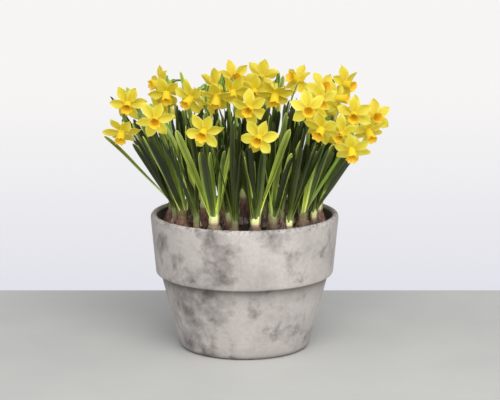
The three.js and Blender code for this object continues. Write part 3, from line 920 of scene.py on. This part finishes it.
def grow(leaves, lines, noses, rounds, apart, least_top, blocked):
    """Round after round of one more leaf for each tuft, where there is room."""
    for _ in range(rounds):
        for nose in noses:
            for _ in range(TRIES):
                made = drawn_leaf(nose)
                made.line.height = free_height(made.line, blocked)
                if made.line.start + made.line.height < least_top:
                    continue
                if not clear_of(made.line, lines, apart):
                    continue
                leaves.append(made)
                lines.append(made.line)
                break


state = 4711
leaves = [
    Leaf(NOSES[nose - 1], Vector(tip), math.radians(face)) for nose, tip, face in MARKED_LEAVES
]
for leaf in leaves[:FOREMOST_LEAVES]:
    leaf.line.foremost = True
standing = stems + [leaf.line for leaf in leaves]
grow(leaves, standing, NOSES, LEAVES_A_TUFT, (APART, APART_IN_TUFT), LEAST_TOP, near_flower)
side_leaves = []
closer = (CLOSER, CLOSER_IN_TUFT)
grow(side_leaves, standing, SIDE_BULBS, SIDE_LEAVES, closer, LEAST_EXTRA_TOP, in_the_way)
more_leaves = []
grow(more_leaves, standing, NOSES, MORE_LEAVES_A_TUFT, closer, LEAST_EXTRA_TOP, in_the_way)
for leaf in side_leaves + more_leaves:
    leaf.width *= draw(*NARROWER)


def give_slots(lines, radius):
    """Gives the lines of one nose their slots round a ring, in the order that they spread."""
    mean_x = sum(line.slope_x for line in lines) / max(len(lines), 1)
    mean_y = sum(line.slope_y for line in lines) / max(len(lines), 1)

    def bearing(line):
        return math.atan2(line.slope_y - mean_y, line.slope_x - mean_x)

    lines.sort(key=bearing)
    for k, line in enumerate(lines):
        angle = bearing(lines[0]) + k * 2 * math.pi / len(lines)
        line.slot = (radius * math.cos(angle), radius * math.sin(angle))


for nose in NOSES:
    give_slots([leaf.line for leaf in leaves if leaf.line.nose is nose], LEAF_RING)
    give_slots([leaf.line for leaf in more_leaves if leaf.line.nose is nose], INNER_RING)
    give_slots([line for line in stems if line.nose is nose], STEM_RING)
for side_bulb in SIDE_BULBS:
    give_slots([leaf.line for leaf in side_leaves if leaf.line.nose is side_bulb], SIDE_RING)


LEAF_THICKNESS = 0.9
LEAF_SINK = 11
LEAF_TIP = 7.5
LEAF_CURLS = (-2.0, 3.0)
LEAF_WAVE = 0.5
CHANNEL = 0.17
CHANNEL_DEPTHS = (0.6, 1.3)
LEAF_BREADTHS = [(0, 0.46), (0.15, 0.60), (0.35, 0.76), (0.62, 0.86), (0.85, 0.78), (1, 0.62)]
SHOOT_SIDES = 10
STEM_RADIUS = 1.8
STEM_SWELL = 0.35
STEM_SINK = 2
STEM_RINGS = 15
ARCH_RINGS = 9
OVARY_RADIUS = 1.5
OVARY_SWELL = 1.35
OVARY_INTO_TUBE = 0.3
OVARY_RINGS = 7
SPATHE_LENGTH = 15
SPATHE_WIDTH = 8
SPATHE_BELOW = 3
SPATHE_LENGTH_RANGE = (0.8, 1.15)
SPATHE_LEANS = (-0.15, 0.15)
SPATHE_ROLL = 2.3
SPATHE_BULGE = 1.3
SPATHE_FOOT = 2.2
SPATHE_THICKNESS = 0.5
SPATHE_BREADTHS = [(0, 0.95), (0.25, 1), (0.6, 0.62), (0.85, 0.25), (1, 0.03)]
COLLAR_SIDES = 24
COLLAR_TOP = 10
COLLAR_SLANT = 3.6
COLLAR_TEARS = 1.8
COLLAR_FOLDS = 0.06
COLLAR_SMALL_FOLDS = 0.03
COLLAR_PROFILE = [
    (5.8, -5), (6.4, -2), (6.7, 1), (6.8, 4), (6.9, 7), (7.0, COLLAR_TOP),
    (6.6, COLLAR_TOP), (6.5, 7), (6.4, 4), (6.1, 1),
]
LEAF_COLOURS = [
    (0.0, (0.62, 0.64, 0.36)),
    (0.12, (0.52, 0.62, 0.21)),
    (0.22, (0.33, 0.43, 0.076)),
    (0.38, (0.18, 0.250, 0.042)),
    (0.60, (0.116, 0.166, 0.031)),
    (0.88, (0.092, 0.132, 0.026)),
    (0.985, (0.13, 0.18, 0.04)),
    (1.0, (0.32, 0.29, 0.10)),
]
# The two leaves at the front get a fixed bright tone: painted light on them.
FOREMOST_PAINTED_LIGHT_TONE = 0.85
# The side bulbs' leaves, between the tufts, take only the dark tones: a painted shade.
SIDE_SHADE_TONES = (0, 0.40)
COLLAR_TONES = (0, 0.8)
LEAF_TONES = [(0.36, 0.43), (0.56, 1.50)]
TONE_UP_A_LEAF = [(0.05, 0.35), (0.24, 1)]
LEAF_PATCHES = [(0.3, 0.72), (0.7, 1.22)]
LEAF_PATCH_STRETCH = (1, 1, 0.25)
LEAF_VEINS = [(0.2, 0.90), (0.8, 1.06)]
STEM_VEINS_APART = 0.2
COLLAR_VEINS_APART = 0.5
# Tones across a leaf from its left edge: a painted shade down the channel, and a painted sheen towards
# the edges, strongest on the left.
SHADE_AND_SHEEN_ACROSS_A_LEAF = [(0.0, 1.9), (0.09, 1.05), (0.42, 0.78), (0.52, 0.50), (0.62, 0.98), (1.0, 1.3)]
STEM_COLOURS = [
    (0.0, (0.40, 0.50, 0.16)),
    (0.2, (0.22, 0.36, 0.055)),
    (0.8, (0.17, 0.30, 0.045)),
    (1.0, (0.19, 0.33, 0.05)),
]
COLLAR_COLOURS = [
    (0.0, (0.18, 0.12, 0.075)),
    (0.2, (0.36, 0.30, 0.17)),
    (0.6, (0.37, 0.40, 0.18)),
    (1.0, (0.31, 0.39, 0.12)),
]
SPATHE_COLOURS = [
    (0.0, (0.26, 0.36, 0.10)),
    (0.6, (0.42, 0.46, 0.19)),
    (1.0, (0.60, 0.52, 0.30)),
]


def blade_template(name, columns, rows):
    """A flat blade, one unit broad, long and thick, from which leaves and petals are bent."""
    blade = plain_shape(
        bpy.ops.mesh.primitive_grid_add, name,
        x_subdivisions=columns, y_subdivisions=rows, size=1, location=(0, 0.5, 0),
    )
    bpy.ops.object.transform_apply(location=True, rotation=True, scale=True)
    finish_modifier(blade, "SOLIDIFY", thickness=1, offset=0)
    bpy.ops.object.shade_smooth_by_angle(angle=math.radians(40))
    return blade


def mark(mesh, name, value_at):
    """Stores a value for each point of a mesh, for its material to read."""
    marks = mesh.attributes.new(name, "FLOAT", "POINT")
    for vertex, point_mark in zip(mesh.vertices, marks.data):
        point_mark.value = value_at(vertex.co)


def in_material(mesh, place_in_list, tone):
    """Gives a whole mesh one material of its piece's list, and one tone."""
    mesh.polygons.foreach_set("material_index", [place_in_list] * len(mesh.polygons))
    mark(mesh, "tone", lambda p: tone)
    return mesh


def read_off(table, share):
    """A value between the (place, value) rows of a table, on a smooth curve through them."""
    k = 0
    while k < len(table) - 2 and share > table[k + 1][0]:
        k += 1
    t = (share - table[k][0]) / (table[k + 1][0] - table[k][0])
    b, c = table[k][1], table[k + 1][1]
    a = table[k - 1][1] if k > 0 else b
    d = table[k + 2][1] if k < len(table) - 2 else c
    return b + 0.5 * t * (c - a + t * (2 * a - 5 * b + 4 * c - d + t * (3 * (b - c) + d - a)))


def quarter_turn(angle):
    """A blade looks the same from both sides, so it never needs more than a quarter turn."""
    return angle - math.pi * round(angle / math.pi)


def up_the_leaf(p):
    """How far up the leaf a point of its blade lies. The blade's rows crowd towards the tip."""
    return 1 - (1 - p.y) ** 1.5


def leaf_mesh(leaf, template, tone):
    """A strap leaf: channelled, twisted along its line, with a blunt round tip."""
    line = leaf.line
    root = math.atan2(line.slot[1], line.slot[0]) + math.pi / 2
    turn = leaf.twist if leaf.face is None else quarter_turn(leaf.face - root)
    curl = draw(*LEAF_CURLS)
    phase = draw(0, 2 * math.pi)
    hollow = CHANNEL * draw(*CHANNEL_DEPTHS)

    def place(p):
        share = up_the_leaf(p)
        left = (1 - share) * line.height
        rise = share * (line.height + LEAF_SINK) - LEAF_SINK
        middle = line.point(rise)
        along = line.along(rise)
        bearing = root + turn * share
        across = Vector((math.cos(bearing), math.sin(bearing), 0))
        across = (across - along * across.dot(along)).normalized()
        back = across.cross(along)
        broad = leaf.width * read_off(LEAF_BREADTHS, share)
        if left < LEAF_TIP:
            broad *= math.sqrt(max(0.01, 1 - (1 - left / LEAF_TIP) ** 2))
        sway = curl * share**3 + LEAF_WAVE * math.sin(9 * share + phase)
        lift = sway - hollow * broad * 4 * p.x**2 + p.z * LEAF_THICKNESS * (1 - 0.5 * abs(2 * p.x))
        return (middle + across * (p.x * broad) + back * lift) / 1000

    return in_material(copied(template, place), LEAF, tone)


class Shoot:
    """Rings along a path: each has a middle, two directions across it and a radius."""

    def __init__(self, middles, radii):
        self.middles = middles
        self.radii = radii
        self.sides = []
        side = Vector((1, 0, 0))
        for k in range(len(middles)):
            ahead = middles[min(k + 1, len(middles) - 1)] - middles[max(k - 1, 0)]
            ahead.normalize()
            side = (side - ahead * side.dot(ahead)).normalized()
            self.sides.append((side, ahead.cross(side)))

    def place(self, p):
        k = round(p.z)
        side, top = self.sides[k]
        return (self.middles[k] + (side * p.x + top * p.y) * self.radii[k]) / 1000


def stem_shoot(line, bloom):
    """A stem up its line, over its arch and through the swollen ovary to the flower's tube."""
    middles, radii = [], []
    for k in range(STEM_RINGS):
        share = k / (STEM_RINGS - 1)
        middles.append(line.point(share * (line.height + STEM_SINK) - STEM_SINK))
        swell = math.sin(math.pi * min(1, share * 1.3))
        radii.append(STEM_RADIUS + STEM_SWELL * swell)
    top = line.point(line.height)
    pulls = [
        top,
        top + line.along(line.height) * ARCH_PULL,
        bloom.back - bloom.axis * ARCH_REACH,
        bloom.back,
    ]
    for k in range(1, ARCH_RINGS + 1):
        t = k / ARCH_RINGS
        shares = [(1 - t) ** 3, 3 * t * (1 - t) ** 2, 3 * t * t * (1 - t), t**3]
        middles.append(sum((pull * share for pull, share in zip(pulls, shares)), Vector()))
        radii.append(STEM_RADIUS - STEM_SWELL * min(1, 2 * t))
    for k in range(1, OVARY_RINGS + 1):
        share = k / OVARY_RINGS
        behind = TUBE_LENGTH + OVARY_LENGTH * (1 - share) + OVARY_INTO_TUBE * share
        middles.append(bloom.along(-behind))
        swell = math.sin(math.pi * share * 0.92) ** 0.8
        radii.append(OVARY_RADIUS + OVARY_SWELL * swell)
    return Shoot(middles, radii)


def spathe_mesh(line, bloom, template):
    """The papery spathe: rolled round the stem where the arch begins, and pointed above it."""
    foot = line.point(line.height - SPATHE_BELOW)
    heading = line.along(line.height)
    behind = -bloom.axis + heading * bloom.axis.dot(heading)
    behind.normalize()
    side = heading.cross(behind)
    tall = SPATHE_LENGTH * draw(*SPATHE_LENGTH_RANGE)
    lean = draw(*SPATHE_LEANS)

    def place(p):
        share = p.y
        broad = SPATHE_WIDTH * read_off(SPATHE_BREADTHS, share)
        rolled = SPATHE_ROLL + SPATHE_BULGE * math.sin(math.pi * share)
        angle = p.x * broad / rolled
        out = rolled + p.z * SPATHE_THICKNESS
        bent = behind * (lean * tall * share**2)
        return (
            foot + heading * (tall * share) + bent
            + behind * (out * math.cos(angle)) + side * (out * math.sin(angle))
            - behind * (rolled - SPATHE_FOOT) * share
        ) / 1000

    return in_material(copied(template, place), SPATHE, draw())


def collar_mesh(nose, lines, template, scale):
    """The collar of old skin that holds the leaves together above the neck, with a torn mouth."""
    slope_x = sum(line.slope_x for line in lines) / len(lines)
    slope_y = sum(line.slope_y for line in lines) / len(lines)
    slant = draw(0, 2 * math.pi)
    rough = draw(0, 2 * math.pi)

    def place(p):
        bearing = math.atan2(p.y, p.x)
        lean = bowed(max(p.z - CROWN, 0))
        up = max(0.0, p.z / COLLAR_TOP)
        torn = COLLAR_SLANT * math.cos(bearing - slant) + COLLAR_TEARS * math.sin(5 * bearing + rough)
        folds = COLLAR_FOLDS * math.sin(5 * bearing + slant)
        folds += COLLAR_SMALL_FOLDS * math.sin(11 * bearing)
        wide = scale * (1 + folds)
        return Vector((
            nose[1] + p.x * wide + slope_x * lean,
            nose[2] + p.y * wide + slope_y * lean,
            nose[3] + p.z + up * torn,
        )) / 1000

    return in_material(copied(template, place), COLLAR, draw(*COLLAR_TONES))


fine_veins, given, gives = new_group(
    "fine_veins",
    {
        "Across": "Float", "Scale": "Float", "Distortion": "Float", "Low Level": "Float",
        "High Level": "Float", "Low Colour": "Color", "High Colour": "Color",
    },
    {"Colour": "Color", "Height": "Float"},
)
breadthways = add_node(fine_veins, "CombineXYZ", {"X": given["Across"]})["Vector"]
settings = {"Vector": breadthways, "Scale": given["Scale"], "Distortion": given["Distortion"]}
waves = add_node(fine_veins, "TexWave", settings, bands_direction="X")["Fac"]
feed(fine_veins, gives, {"Colour": mix_by_level(fine_veins, waves, given), "Height": waves})


def veined(tree, stops, scale, distortion):
    """Fine veins along a blade: their colours, from the stops of groove and ridge, and their height."""
    settings = {"Across": own_value(tree, "across"), "Scale": scale, "Distortion": distortion}
    veins = add_node(tree, "Group", settings | by_level(stops), node_tree=fine_veins)
    return veins["Colour"], veins["Height"]


def leaf_green(name, stops, dark, light, gloss):
    """A green of the plant: colours up its length, its own tone, and fine veins along it."""
    material, tree, shader, where = new_material(name)
    share = own_value(tree, "share")
    green = ramp(tree, share, *stops)
    tones = ramp(tree, own_value(tree, "tone"), (0.0, dark), *LEAF_TONES, (1.0, light))
    green = blend(tree, ramp(tree, share, *TONE_UP_A_LEAF), green, tones, "MULTIPLY")
    patches = mottled(
        tree, where, LEAF_PATCHES, scale=55, detail=4, stretch=LEAF_PATCH_STRETCH
    )
    lines, height = veined(tree, LEAF_VEINS, scale=3.1, distortion=0.3)
    # A painted shade down the leaf's channel and a painted sheen towards its edges.
    from_left = math_node(tree, "ADD", own_value(tree, "across"), 0.5)
    channel = ramp(tree, from_left, *SHADE_AND_SHEEN_ACROSS_A_LEAF)
    for tones in (patches, lines, channel):
        green = blend(tree, 1.0, green, tones, "MULTIPLY")
    feed(tree, shader, {"Base Color": green, "Roughness": gloss, "Specular IOR Level": 0.32})
    bump(tree, shader, height, strength=0.25, distance=0.0005)
    return material


greens = [
    leaf_green("strap_leaf", LEAF_COLOURS, (0.085, 0.110, 0.068), (3.50, 3.12, 2.50), gloss=0.32),
    leaf_green("flower_stem", STEM_COLOURS, (0.80, 0.86, 0.80), (1.20, 1.14, 1.0), gloss=0.40),
    leaf_green("neck_sheath", COLLAR_COLOURS, (0.36, 0.26, 0.20), (1.30, 1.25, 1.2), gloss=0.55),
    leaf_green("papery_spathe", SPATHE_COLOURS, (0.80, 0.80, 0.75), (1.15, 1.12, 1.1), gloss=0.60),
]
LEAF, STEM, COLLAR, SPATHE = range(len(greens))


def nearest_neck(side_bulb):
    """The neck of a large bulb that a side bulb grows beside."""
    return min(
        NOSES, key=lambda nose: math.hypot(nose[1] - side_bulb[1], nose[2] - side_bulb[2])
    )


leaf_blade = blade_template("leaf_blade", columns=4, rows=18)
mark(leaf_blade.data, "share", up_the_leaf)
mark(leaf_blade.data, "across", lambda p: p.x)
rings = STEM_RINGS + ARCH_RINGS + OVARY_RINGS
shoot = turned_piece("shoot", [(1, k) for k in range(rings)], SHOOT_SIDES)
mark(shoot.data, "share", lambda p: p.z / (rings - 1))
mark(shoot.data, "across", lambda p: p.x * STEM_VEINS_APART)
collar = turned_piece("collar", COLLAR_PROFILE, COLLAR_SIDES)
mark(collar.data, "share", lambda p: max(0.0, p.z / COLLAR_TOP))
mark(collar.data, "across", lambda p: math.atan2(p.y, p.x) * COLLAR_VEINS_APART)

for number, nose in enumerate(NOSES, start=1):
    tuft = [leaf for leaf in leaves + more_leaves if leaf.line.nose is nose]
    # The leaves at the front take a bright tone, a painted light.
    meshes = [
        leaf_mesh(leaf, leaf_blade, FOREMOST_PAINTED_LIGHT_TONE if leaf.line.foremost else draw())
        for leaf in tuft
    ]
    for line, bloom in zip(stems, blooms):
        if line.nose is nose:
            stem = copied(shoot, stem_shoot(line, bloom).place)
            meshes.append(in_material(stem, STEM, draw()))
            meshes.append(spathe_mesh(line, bloom, leaf_blade))
    meshes.append(collar_mesh(nose, [leaf.line for leaf in tuft], collar, 1))
    for side_bulb in SIDE_BULBS:
        if nearest_neck(side_bulb) is not nose:
            continue
        tuft = [leaf for leaf in side_leaves if leaf.line.nose is side_bulb]
        # Dark tones for the leaves between the tufts, a painted shade.
        meshes += [leaf_mesh(leaf, leaf_blade, draw(*SIDE_SHADE_TONES)) for leaf in tuft]
        meshes.append(collar_mesh(side_bulb, [leaf.line for leaf in tuft], collar, SIDE_BULB))
    piece = joined(f"foliage_{number:02d}_leaves", meshes, greens)
    place_in_plant(piece, f"foliage_{number:02d}")
for template in (leaf_blade, shoot, collar):
    put_away(template)


# The flowers: six petals in two layers of three round a trumpet with a frilled mouth, on a short
# green tube. The petals are lemon yellow with paler edges and deeper golden at the root, partly their
# own colour and partly a painted shade round the trumpet. Flowers further back are painted darker
# and more golden, as shade. The trumpet is egg yellow. Petals and trumpet carry a faint painted glow.
PETALS = 6
PETAL_WIDTH = 14.8
INNER_BREADTH = 0.94
PETAL_BREADTH_RANGE = (0.96, 1.06)
PETAL_LENGTH_RANGE = (0.95, 1.02)
PETAL_ASKEW = (-4, 4)
OUTER_REFLEX = (0.5, 5.0)
INNER_REFLEX = (-2.0, 3.0)
PETAL_TWISTS = (-32, 32)
PETAL_CUPS = (0.3, 2.8)
PETAL_WAVES = (0.6, 2.2)
PETAL_CREASE = 1.5
EDGE_RIPPLE = 0.05
LAYER_STEP = 2
PETAL_THICKNESS = 0.55
PETAL_ROOT = 3
PETAL_BREADTHS = [
    (0, 0.38), (0.18, 0.68), (0.36, 0.94), (0.52, 1), (0.67, 0.89), (0.82, 0.60), (0.93, 0.28),
    (1, 0.03),
]
# Colours up a petal: deeper golden at the root, partly the petal's own colour and partly a painted
# shade round the trumpet, paler towards the tip.
PETAL_COLOURS = [
    (0.0, (0.52, 0.40, 0.015)),
    (0.18, (0.55, 0.46, 0.017)),
    (0.55, (0.575, 0.54, 0.03)),
    (1.0, (0.60, 0.59, 0.08)),
]
PETAL_EDGE = [(0.45, 0), (1.0, 0.85)]
PETAL_VEINS = [(0.1, (0.88, 0.82, 0.70)), (0.9, 1.04)]
TRUMPET_VEINS_APART = 0.7
# Petal tones: a random part, less a painted shade that grows towards the back of the plant.
PETAL_TONES = (0.55, 0.75)
PETAL_TONE_RANGE = (-0.2, 0.2)
BACK_SHADE_DEPTH = 350
TRUMPET_SIDES = 48
TRUMPET_LENGTH = 17
TRUMPET_RIBS = 0.025
TRUMPET_FLARES = (-0.2, 0.5)
MOUTH_FROM = 0.68
FRILLS = 0.50
SMALL_FRILLS = 0.42
RIPPLES = 0.75
SMALL_RIPPLES = 0.45
TRUMPET_PROFILE = [
    (2.1, -15.2), (2.35, -12), (2.6, -8.5), (3.1, -5), (3.9, -2), (4.6, 0), (4.9, 2.5), (5.2, 5.5),
    (5.5, 8.5), (5.8, 11.5), (6.2, 14), (6.7, 15.8), (7.3, 17), (7.0, 17.1), (6.3, 15.6),
    (5.7, 13.6), (5.2, 11), (4.8, 8), (4.4, 5.5), (3.7, 4.2), (2.2, 3.8),
]
TRUMPET_COLOURS = [
    (0.0, (0.40, 0.48, 0.05)),
    (0.20, (0.66, 0.57, 0.03)),
    (0.40, (0.74, 0.59, 0.025)),
    (0.60, (0.80, 0.57, 0.03)),
    (0.80, (0.88, 0.63, 0.05)),
    (1.0, (0.78, 0.48, 0.04)),
]
ANTHERS = 6
ANTHER_RING = 2.1
ANTHER_HEIGHT = 7.5
ANTHER_SIZE = (0.75, 0.75, 2.6)
STYLE_HEIGHT = 10
STYLE_SIZE = (0.55, 0.55, 6.5)
ANTHER_COLOURS = [(0.0, (0.70, 0.42, 0.03)), (1.0, (0.80, 0.55, 0.05))]
# A painted glow: a faint golden emission that lifts the shaded sides of petals and trumpets.
PAINTED_GLOW_COLOUR = (1.0, 0.72, 0.02)
LIGHT_REACH = (0.006, 0.005, 0.0015)
PETAL, TRUMPET, ANTHER = range(3)


def petal_mesh(bloom, index, template, tone):
    """A petal: broad and pointed, creased down its middle, a little cupped, bent and turned."""
    outer = index % 2 == 0
    angle = bloom.turn + index * 2 * math.pi / PETALS + math.radians(draw(*PETAL_ASKEW))
    out = bloom.spoke(angle)
    across = bloom.spoke(angle + math.pi / 2)
    lift = -LAYER_STEP / 2 if outer else LAYER_STEP / 2
    full = PETAL_WIDTH * (1 if outer else INNER_BREADTH) * draw(*PETAL_BREADTH_RANGE)
    length = PETAL_LENGTH * draw(*PETAL_LENGTH_RANGE)
    reflex = draw(*OUTER_REFLEX) if outer else draw(*INNER_REFLEX)
    twist = math.radians(draw(*PETAL_TWISTS))
    cup = draw(*PETAL_CUPS)
    wave = draw(*PETAL_WAVES)
    phase = draw(0, 2 * math.pi)

    def place(p):
        share = p.y
        broad = full * read_off(PETAL_BREADTHS, share)
        reach = PETAL_ROOT + (length - PETAL_ROOT) * share
        x = p.x * broad * (1 + EDGE_RIPPLE * math.sin(12 * share + 3 * phase + 2 * p.x))
        forward = lift - reflex * share**2 + cup * (2 * p.x) ** 2 * math.sin(math.pi * share)
        forward -= PETAL_CREASE * (1 - 0.8 * share) * max(0.0, 1 - abs(5 * p.x))
        forward += wave * 2 * p.x * math.sin(7 * share + phase) * share
        forward += p.z * PETAL_THICKNESS * (1 - 0.6 * share)
        forward += math.sin(twist) * x * share
        x *= 1 - (1 - math.cos(twist)) * share
        return (bloom.along(forward) + out * reach + across * x) / 1000

    return in_material(copied(template, place), PETAL, tone)


def trumpet_mesh(bloom, template):
    """The trumpet on its tube, with ribs down it and a mouth drawn into frills."""
    ribs = draw(0, 2 * math.pi)
    frill = draw(0, 2 * math.pi)
    flare = draw(*TRUMPET_FLARES)

    def place(p):
        bearing = math.atan2(p.y, p.x)
        radius = math.hypot(p.x, p.y)
        share = max(0.0, p.z / TRUMPET_LENGTH)
        mouth = max(0.0, (share - MOUTH_FROM) / (1 - MOUTH_FROM)) ** 1.5
        radius *= 1 + TRUMPET_RIBS * share * math.sin(6 * bearing + ribs)
        frills = FRILLS * math.sin(6 * bearing + frill) + SMALL_FRILLS * math.sin(13 * bearing - frill)
        ripples = RIPPLES * math.sin(6 * bearing + frill + 1)
        ripples += SMALL_RIPPLES * math.sin(11 * bearing + ribs)
        radius += mouth * (flare + frills)
        return (bloom.along(p.z + mouth * ripples) + bloom.spoke(bearing) * radius) / 1000

    return in_material(copied(template, place), TRUMPET, draw())


def along_the_horn(p):
    """How far along the trumpet's profile a point lies, from the tube to the bottom inside."""
    here = Vector((math.hypot(p.x, p.y), p.z))
    apart = [(Vector(ring) - here).length for ring in TRUMPET_PROFILE]
    return apart.index(min(apart)) / (len(TRUMPET_PROFILE) - 1)


def stamen_meshes(bloom, template):
    """Six anthers in a ring, and the style between them, in the bottom of the trumpet."""
    places = [
        (bloom.turn + k * 2 * math.pi / ANTHERS, ANTHER_RING, ANTHER_HEIGHT, ANTHER_SIZE)
        for k in range(ANTHERS)
    ]
    places.append((0, 0, STYLE_HEIGHT, STYLE_SIZE))
    meshes = []
    for bearing, radius, height, size in places:
        centre = bloom.along(height) + bloom.spoke(bearing) * radius

        def place(p):
            x, y, z = (way * reach for way, reach in zip(p, size))
            return (centre + bloom.side * x + bloom.top * y + bloom.axis * z) / 1000

        meshes.append(in_material(copied(template, place), ANTHER, draw()))
    return meshes


def flower_yellow(name, stops, edge, tint, gloss, glow, painted_glow_strength):
    """A yellow of the flower: colours up its length, a paler edge, its own tone, fine lines, a painted
    glow.
    """
    material, tree, shader, where = new_material(name)
    yellow = ramp(tree, own_value(tree, "share"), *stops)
    yellow = blend(tree, ramp(tree, own_value(tree, "edge"), *PETAL_EDGE), yellow, edge)
    tones = ramp(tree, own_value(tree, "tone"), (0.0, tint), (1.0, 1.05))
    yellow = blend(tree, 1.0, yellow, tones, "MULTIPLY")
    lines, height = veined(tree, PETAL_VEINS, scale=4.2, distortion=0.6)
    yellow = blend(tree, 1.0, yellow, lines, "MULTIPLY")
    # The emission is a painted glow that lifts the shade.
    settings = {
        "Base Color": yellow, "Roughness": gloss,
        "Emission Color": PAINTED_GLOW_COLOUR, "Emission Strength": painted_glow_strength,
        "Subsurface Weight": glow, "Subsurface Radius": LIGHT_REACH,
    }
    feed(tree, shader, settings)
    bump(tree, shader, height, strength=0.4, distance=0.0005)
    return material


yellows = [
    flower_yellow(
        "lemon_petal", PETAL_COLOURS, edge=(0.65, 0.66, 0.16), tint=(1.0, 0.88, 0.68),
        gloss=0.45, glow=0.6, painted_glow_strength=0.20,
    ),
    flower_yellow(
        "egg_yellow_trumpet", TRUMPET_COLOURS, edge=(0.90, 0.66, 0.05), tint=(0.95, 0.92, 0.85),
        gloss=0.48, glow=0.6, painted_glow_strength=0.16,
    ),
    flower_yellow(
        "anther", ANTHER_COLOURS, edge=(0.8, 0.6, 0.1), tint=(0.9, 0.9, 0.9),
        gloss=0.7, glow=0.0, painted_glow_strength=0.0,
    ),
]

petal_blade = blade_template("petal_blade", columns=6, rows=10)
mark(petal_blade.data, "share", lambda p: p.y)
mark(petal_blade.data, "across", lambda p: p.x)
mark(petal_blade.data, "edge", lambda p: abs(2 * p.x))
horn = turned_piece("horn", TRUMPET_PROFILE, TRUMPET_SIDES)
mark(horn.data, "share", along_the_horn)
mark(horn.data, "across", lambda p: math.atan2(p.y, p.x) * TRUMPET_VEINS_APART)
anther = plain_shape(bpy.ops.mesh.primitive_ico_sphere_add, "anther", subdivisions=2, radius=1)
bpy.ops.object.shade_smooth()
mark(anther.data, "share", lambda p: p.z / 2 + 0.5)

for number, bloom in enumerate(blooms, start=1):
    # Flowers further back take a lower tone: a painted shade, darker and more golden.
    lemon = draw(*PETAL_TONES) - bloom.middle.y / BACK_SHADE_DEPTH
    meshes = [
        petal_mesh(bloom, index, petal_blade, lemon + draw(*PETAL_TONE_RANGE))
        for index in range(PETALS)
    ]
    meshes.append(trumpet_mesh(bloom, horn))
    meshes += stamen_meshes(bloom, anther)
    piece = joined(f"flower_{number:02d}_bloom", meshes, yellows)
    place_in_plant(piece, f"flower_{number:02d}")
for template in (petal_blade, horn, anther):
    put_away(template)


# The setting: a pale table whose back edge shows behind the pot, a bright plain room beyond, soft
# window light from the front right, and the camera a little above the flowers.
TABLE_SIZE = (6, 4)
TABLE_BACK = 0.297
TABLE_Z = -0.0005
TABLE_GREYS = [(0.3, (0.515, 0.52, 0.50)), (0.7, (0.56, 0.56, 0.535))]
ROOM_STRENGTH = 0.95
ROOM_SPAN = (-0.6, 0.6)
ROOM_LIGHTS = [(0.0, (0.95, 0.965, 1.0)), (1.0, (0.33, 0.335, 0.35))]
WALL_SPAN = (-0.25, -0.09)
WALL_GREYS = [(0.0, (0.74, 0.745, 0.815)), (0.7, (0.93, 0.914, 0.905))]
WINDOW_PLACE = (0.45, -1.8, 1.8)
WINDOW_AIM = Vector((0, 0, 0.2))
WINDOW_SIZE = 2.0
WINDOW_ENERGY = 51
WINDOW_COLOUR = (1.0, 0.98, 0.95)
CAMERA_PLACE = (0, -2.5, 0.69)
CAMERA_AIM = Vector((0, 0, 0.19))
CAMERA_LENS = 138.1
CAMERA_SHIFT = (0.0108, 0.0093)

table_top, tree, shader, where = new_material("pale_table")
greys = mottled(tree, where, TABLE_GREYS, scale=6, detail=3)
feed(tree, shader, {"Base Color": greys, "Roughness": 0.6})
table = plain_shape(bpy.ops.mesh.primitive_plane_add, "table", size=1, location=(0, 0, TABLE_Z))
bpy.ops.transform.resize(value=(*TABLE_SIZE, 1))
bpy.ops.transform.translate(value=(0, TABLE_BACK - TABLE_SIZE[1] / 2, 0))
bpy.ops.object.transform_apply(location=True, rotation=True, scale=True)
table.data.materials.append(table_top)

world = bpy.data.worlds.new("bright_room")
bpy.context.scene.world = world
world.use_nodes = True
tree = world.node_tree
outlook = add_node(tree, "TexCoord", {})["Generated"]
way_back = add_node(tree, "SeparateXYZ", {"Vector": outlook})["Y"]
light_colour = ramp(tree, level_of(tree, way_back, *ROOM_SPAN), *ROOM_LIGHTS)
room_light = tree.nodes["Background"]
feed(tree, room_light, {"Color": light_colour, "Strength": ROOM_STRENGTH})
wall_colour = ramp(tree, level_of(tree, height_of(tree, outlook), *WALL_SPAN), *WALL_GREYS)
wall_seen = add_node(tree, "Background", {"Color": wall_colour})["Background"]
straight = add_node(tree, "LightPath", {})["Is Camera Ray"]
settings = {0: straight, 1: room_light.outputs["Background"], 2: wall_seen}
seen = add_node(tree, "MixShader", settings)["Shader"]
feed(tree, tree.nodes["World Output"], {"Surface": seen})
bpy.context.scene.view_settings.view_transform = "Standard"


def aim(thing, target):
    """Turns the window's light or the camera towards a point."""
    thing.rotation_euler = (target - thing.location).to_track_quat("-Z", "Y").to_euler()


bpy.ops.object.light_add(type="AREA", location=WINDOW_PLACE)
window = bpy.context.object
window.data.shape = "SQUARE"
window.data.size = WINDOW_SIZE
window.data.energy = WINDOW_ENERGY
window.data.color = WINDOW_COLOUR
aim(window, WINDOW_AIM)

bpy.ops.object.camera_add(location=CAMERA_PLACE)
camera = bpy.context.object
aim(camera, CAMERA_AIM)
camera.data.sensor_width = 36
camera.data.lens = CAMERA_LENS
camera.data.shift_x, camera.data.shift_y = CAMERA_SHIFT
bpy.context.scene.camera = camera
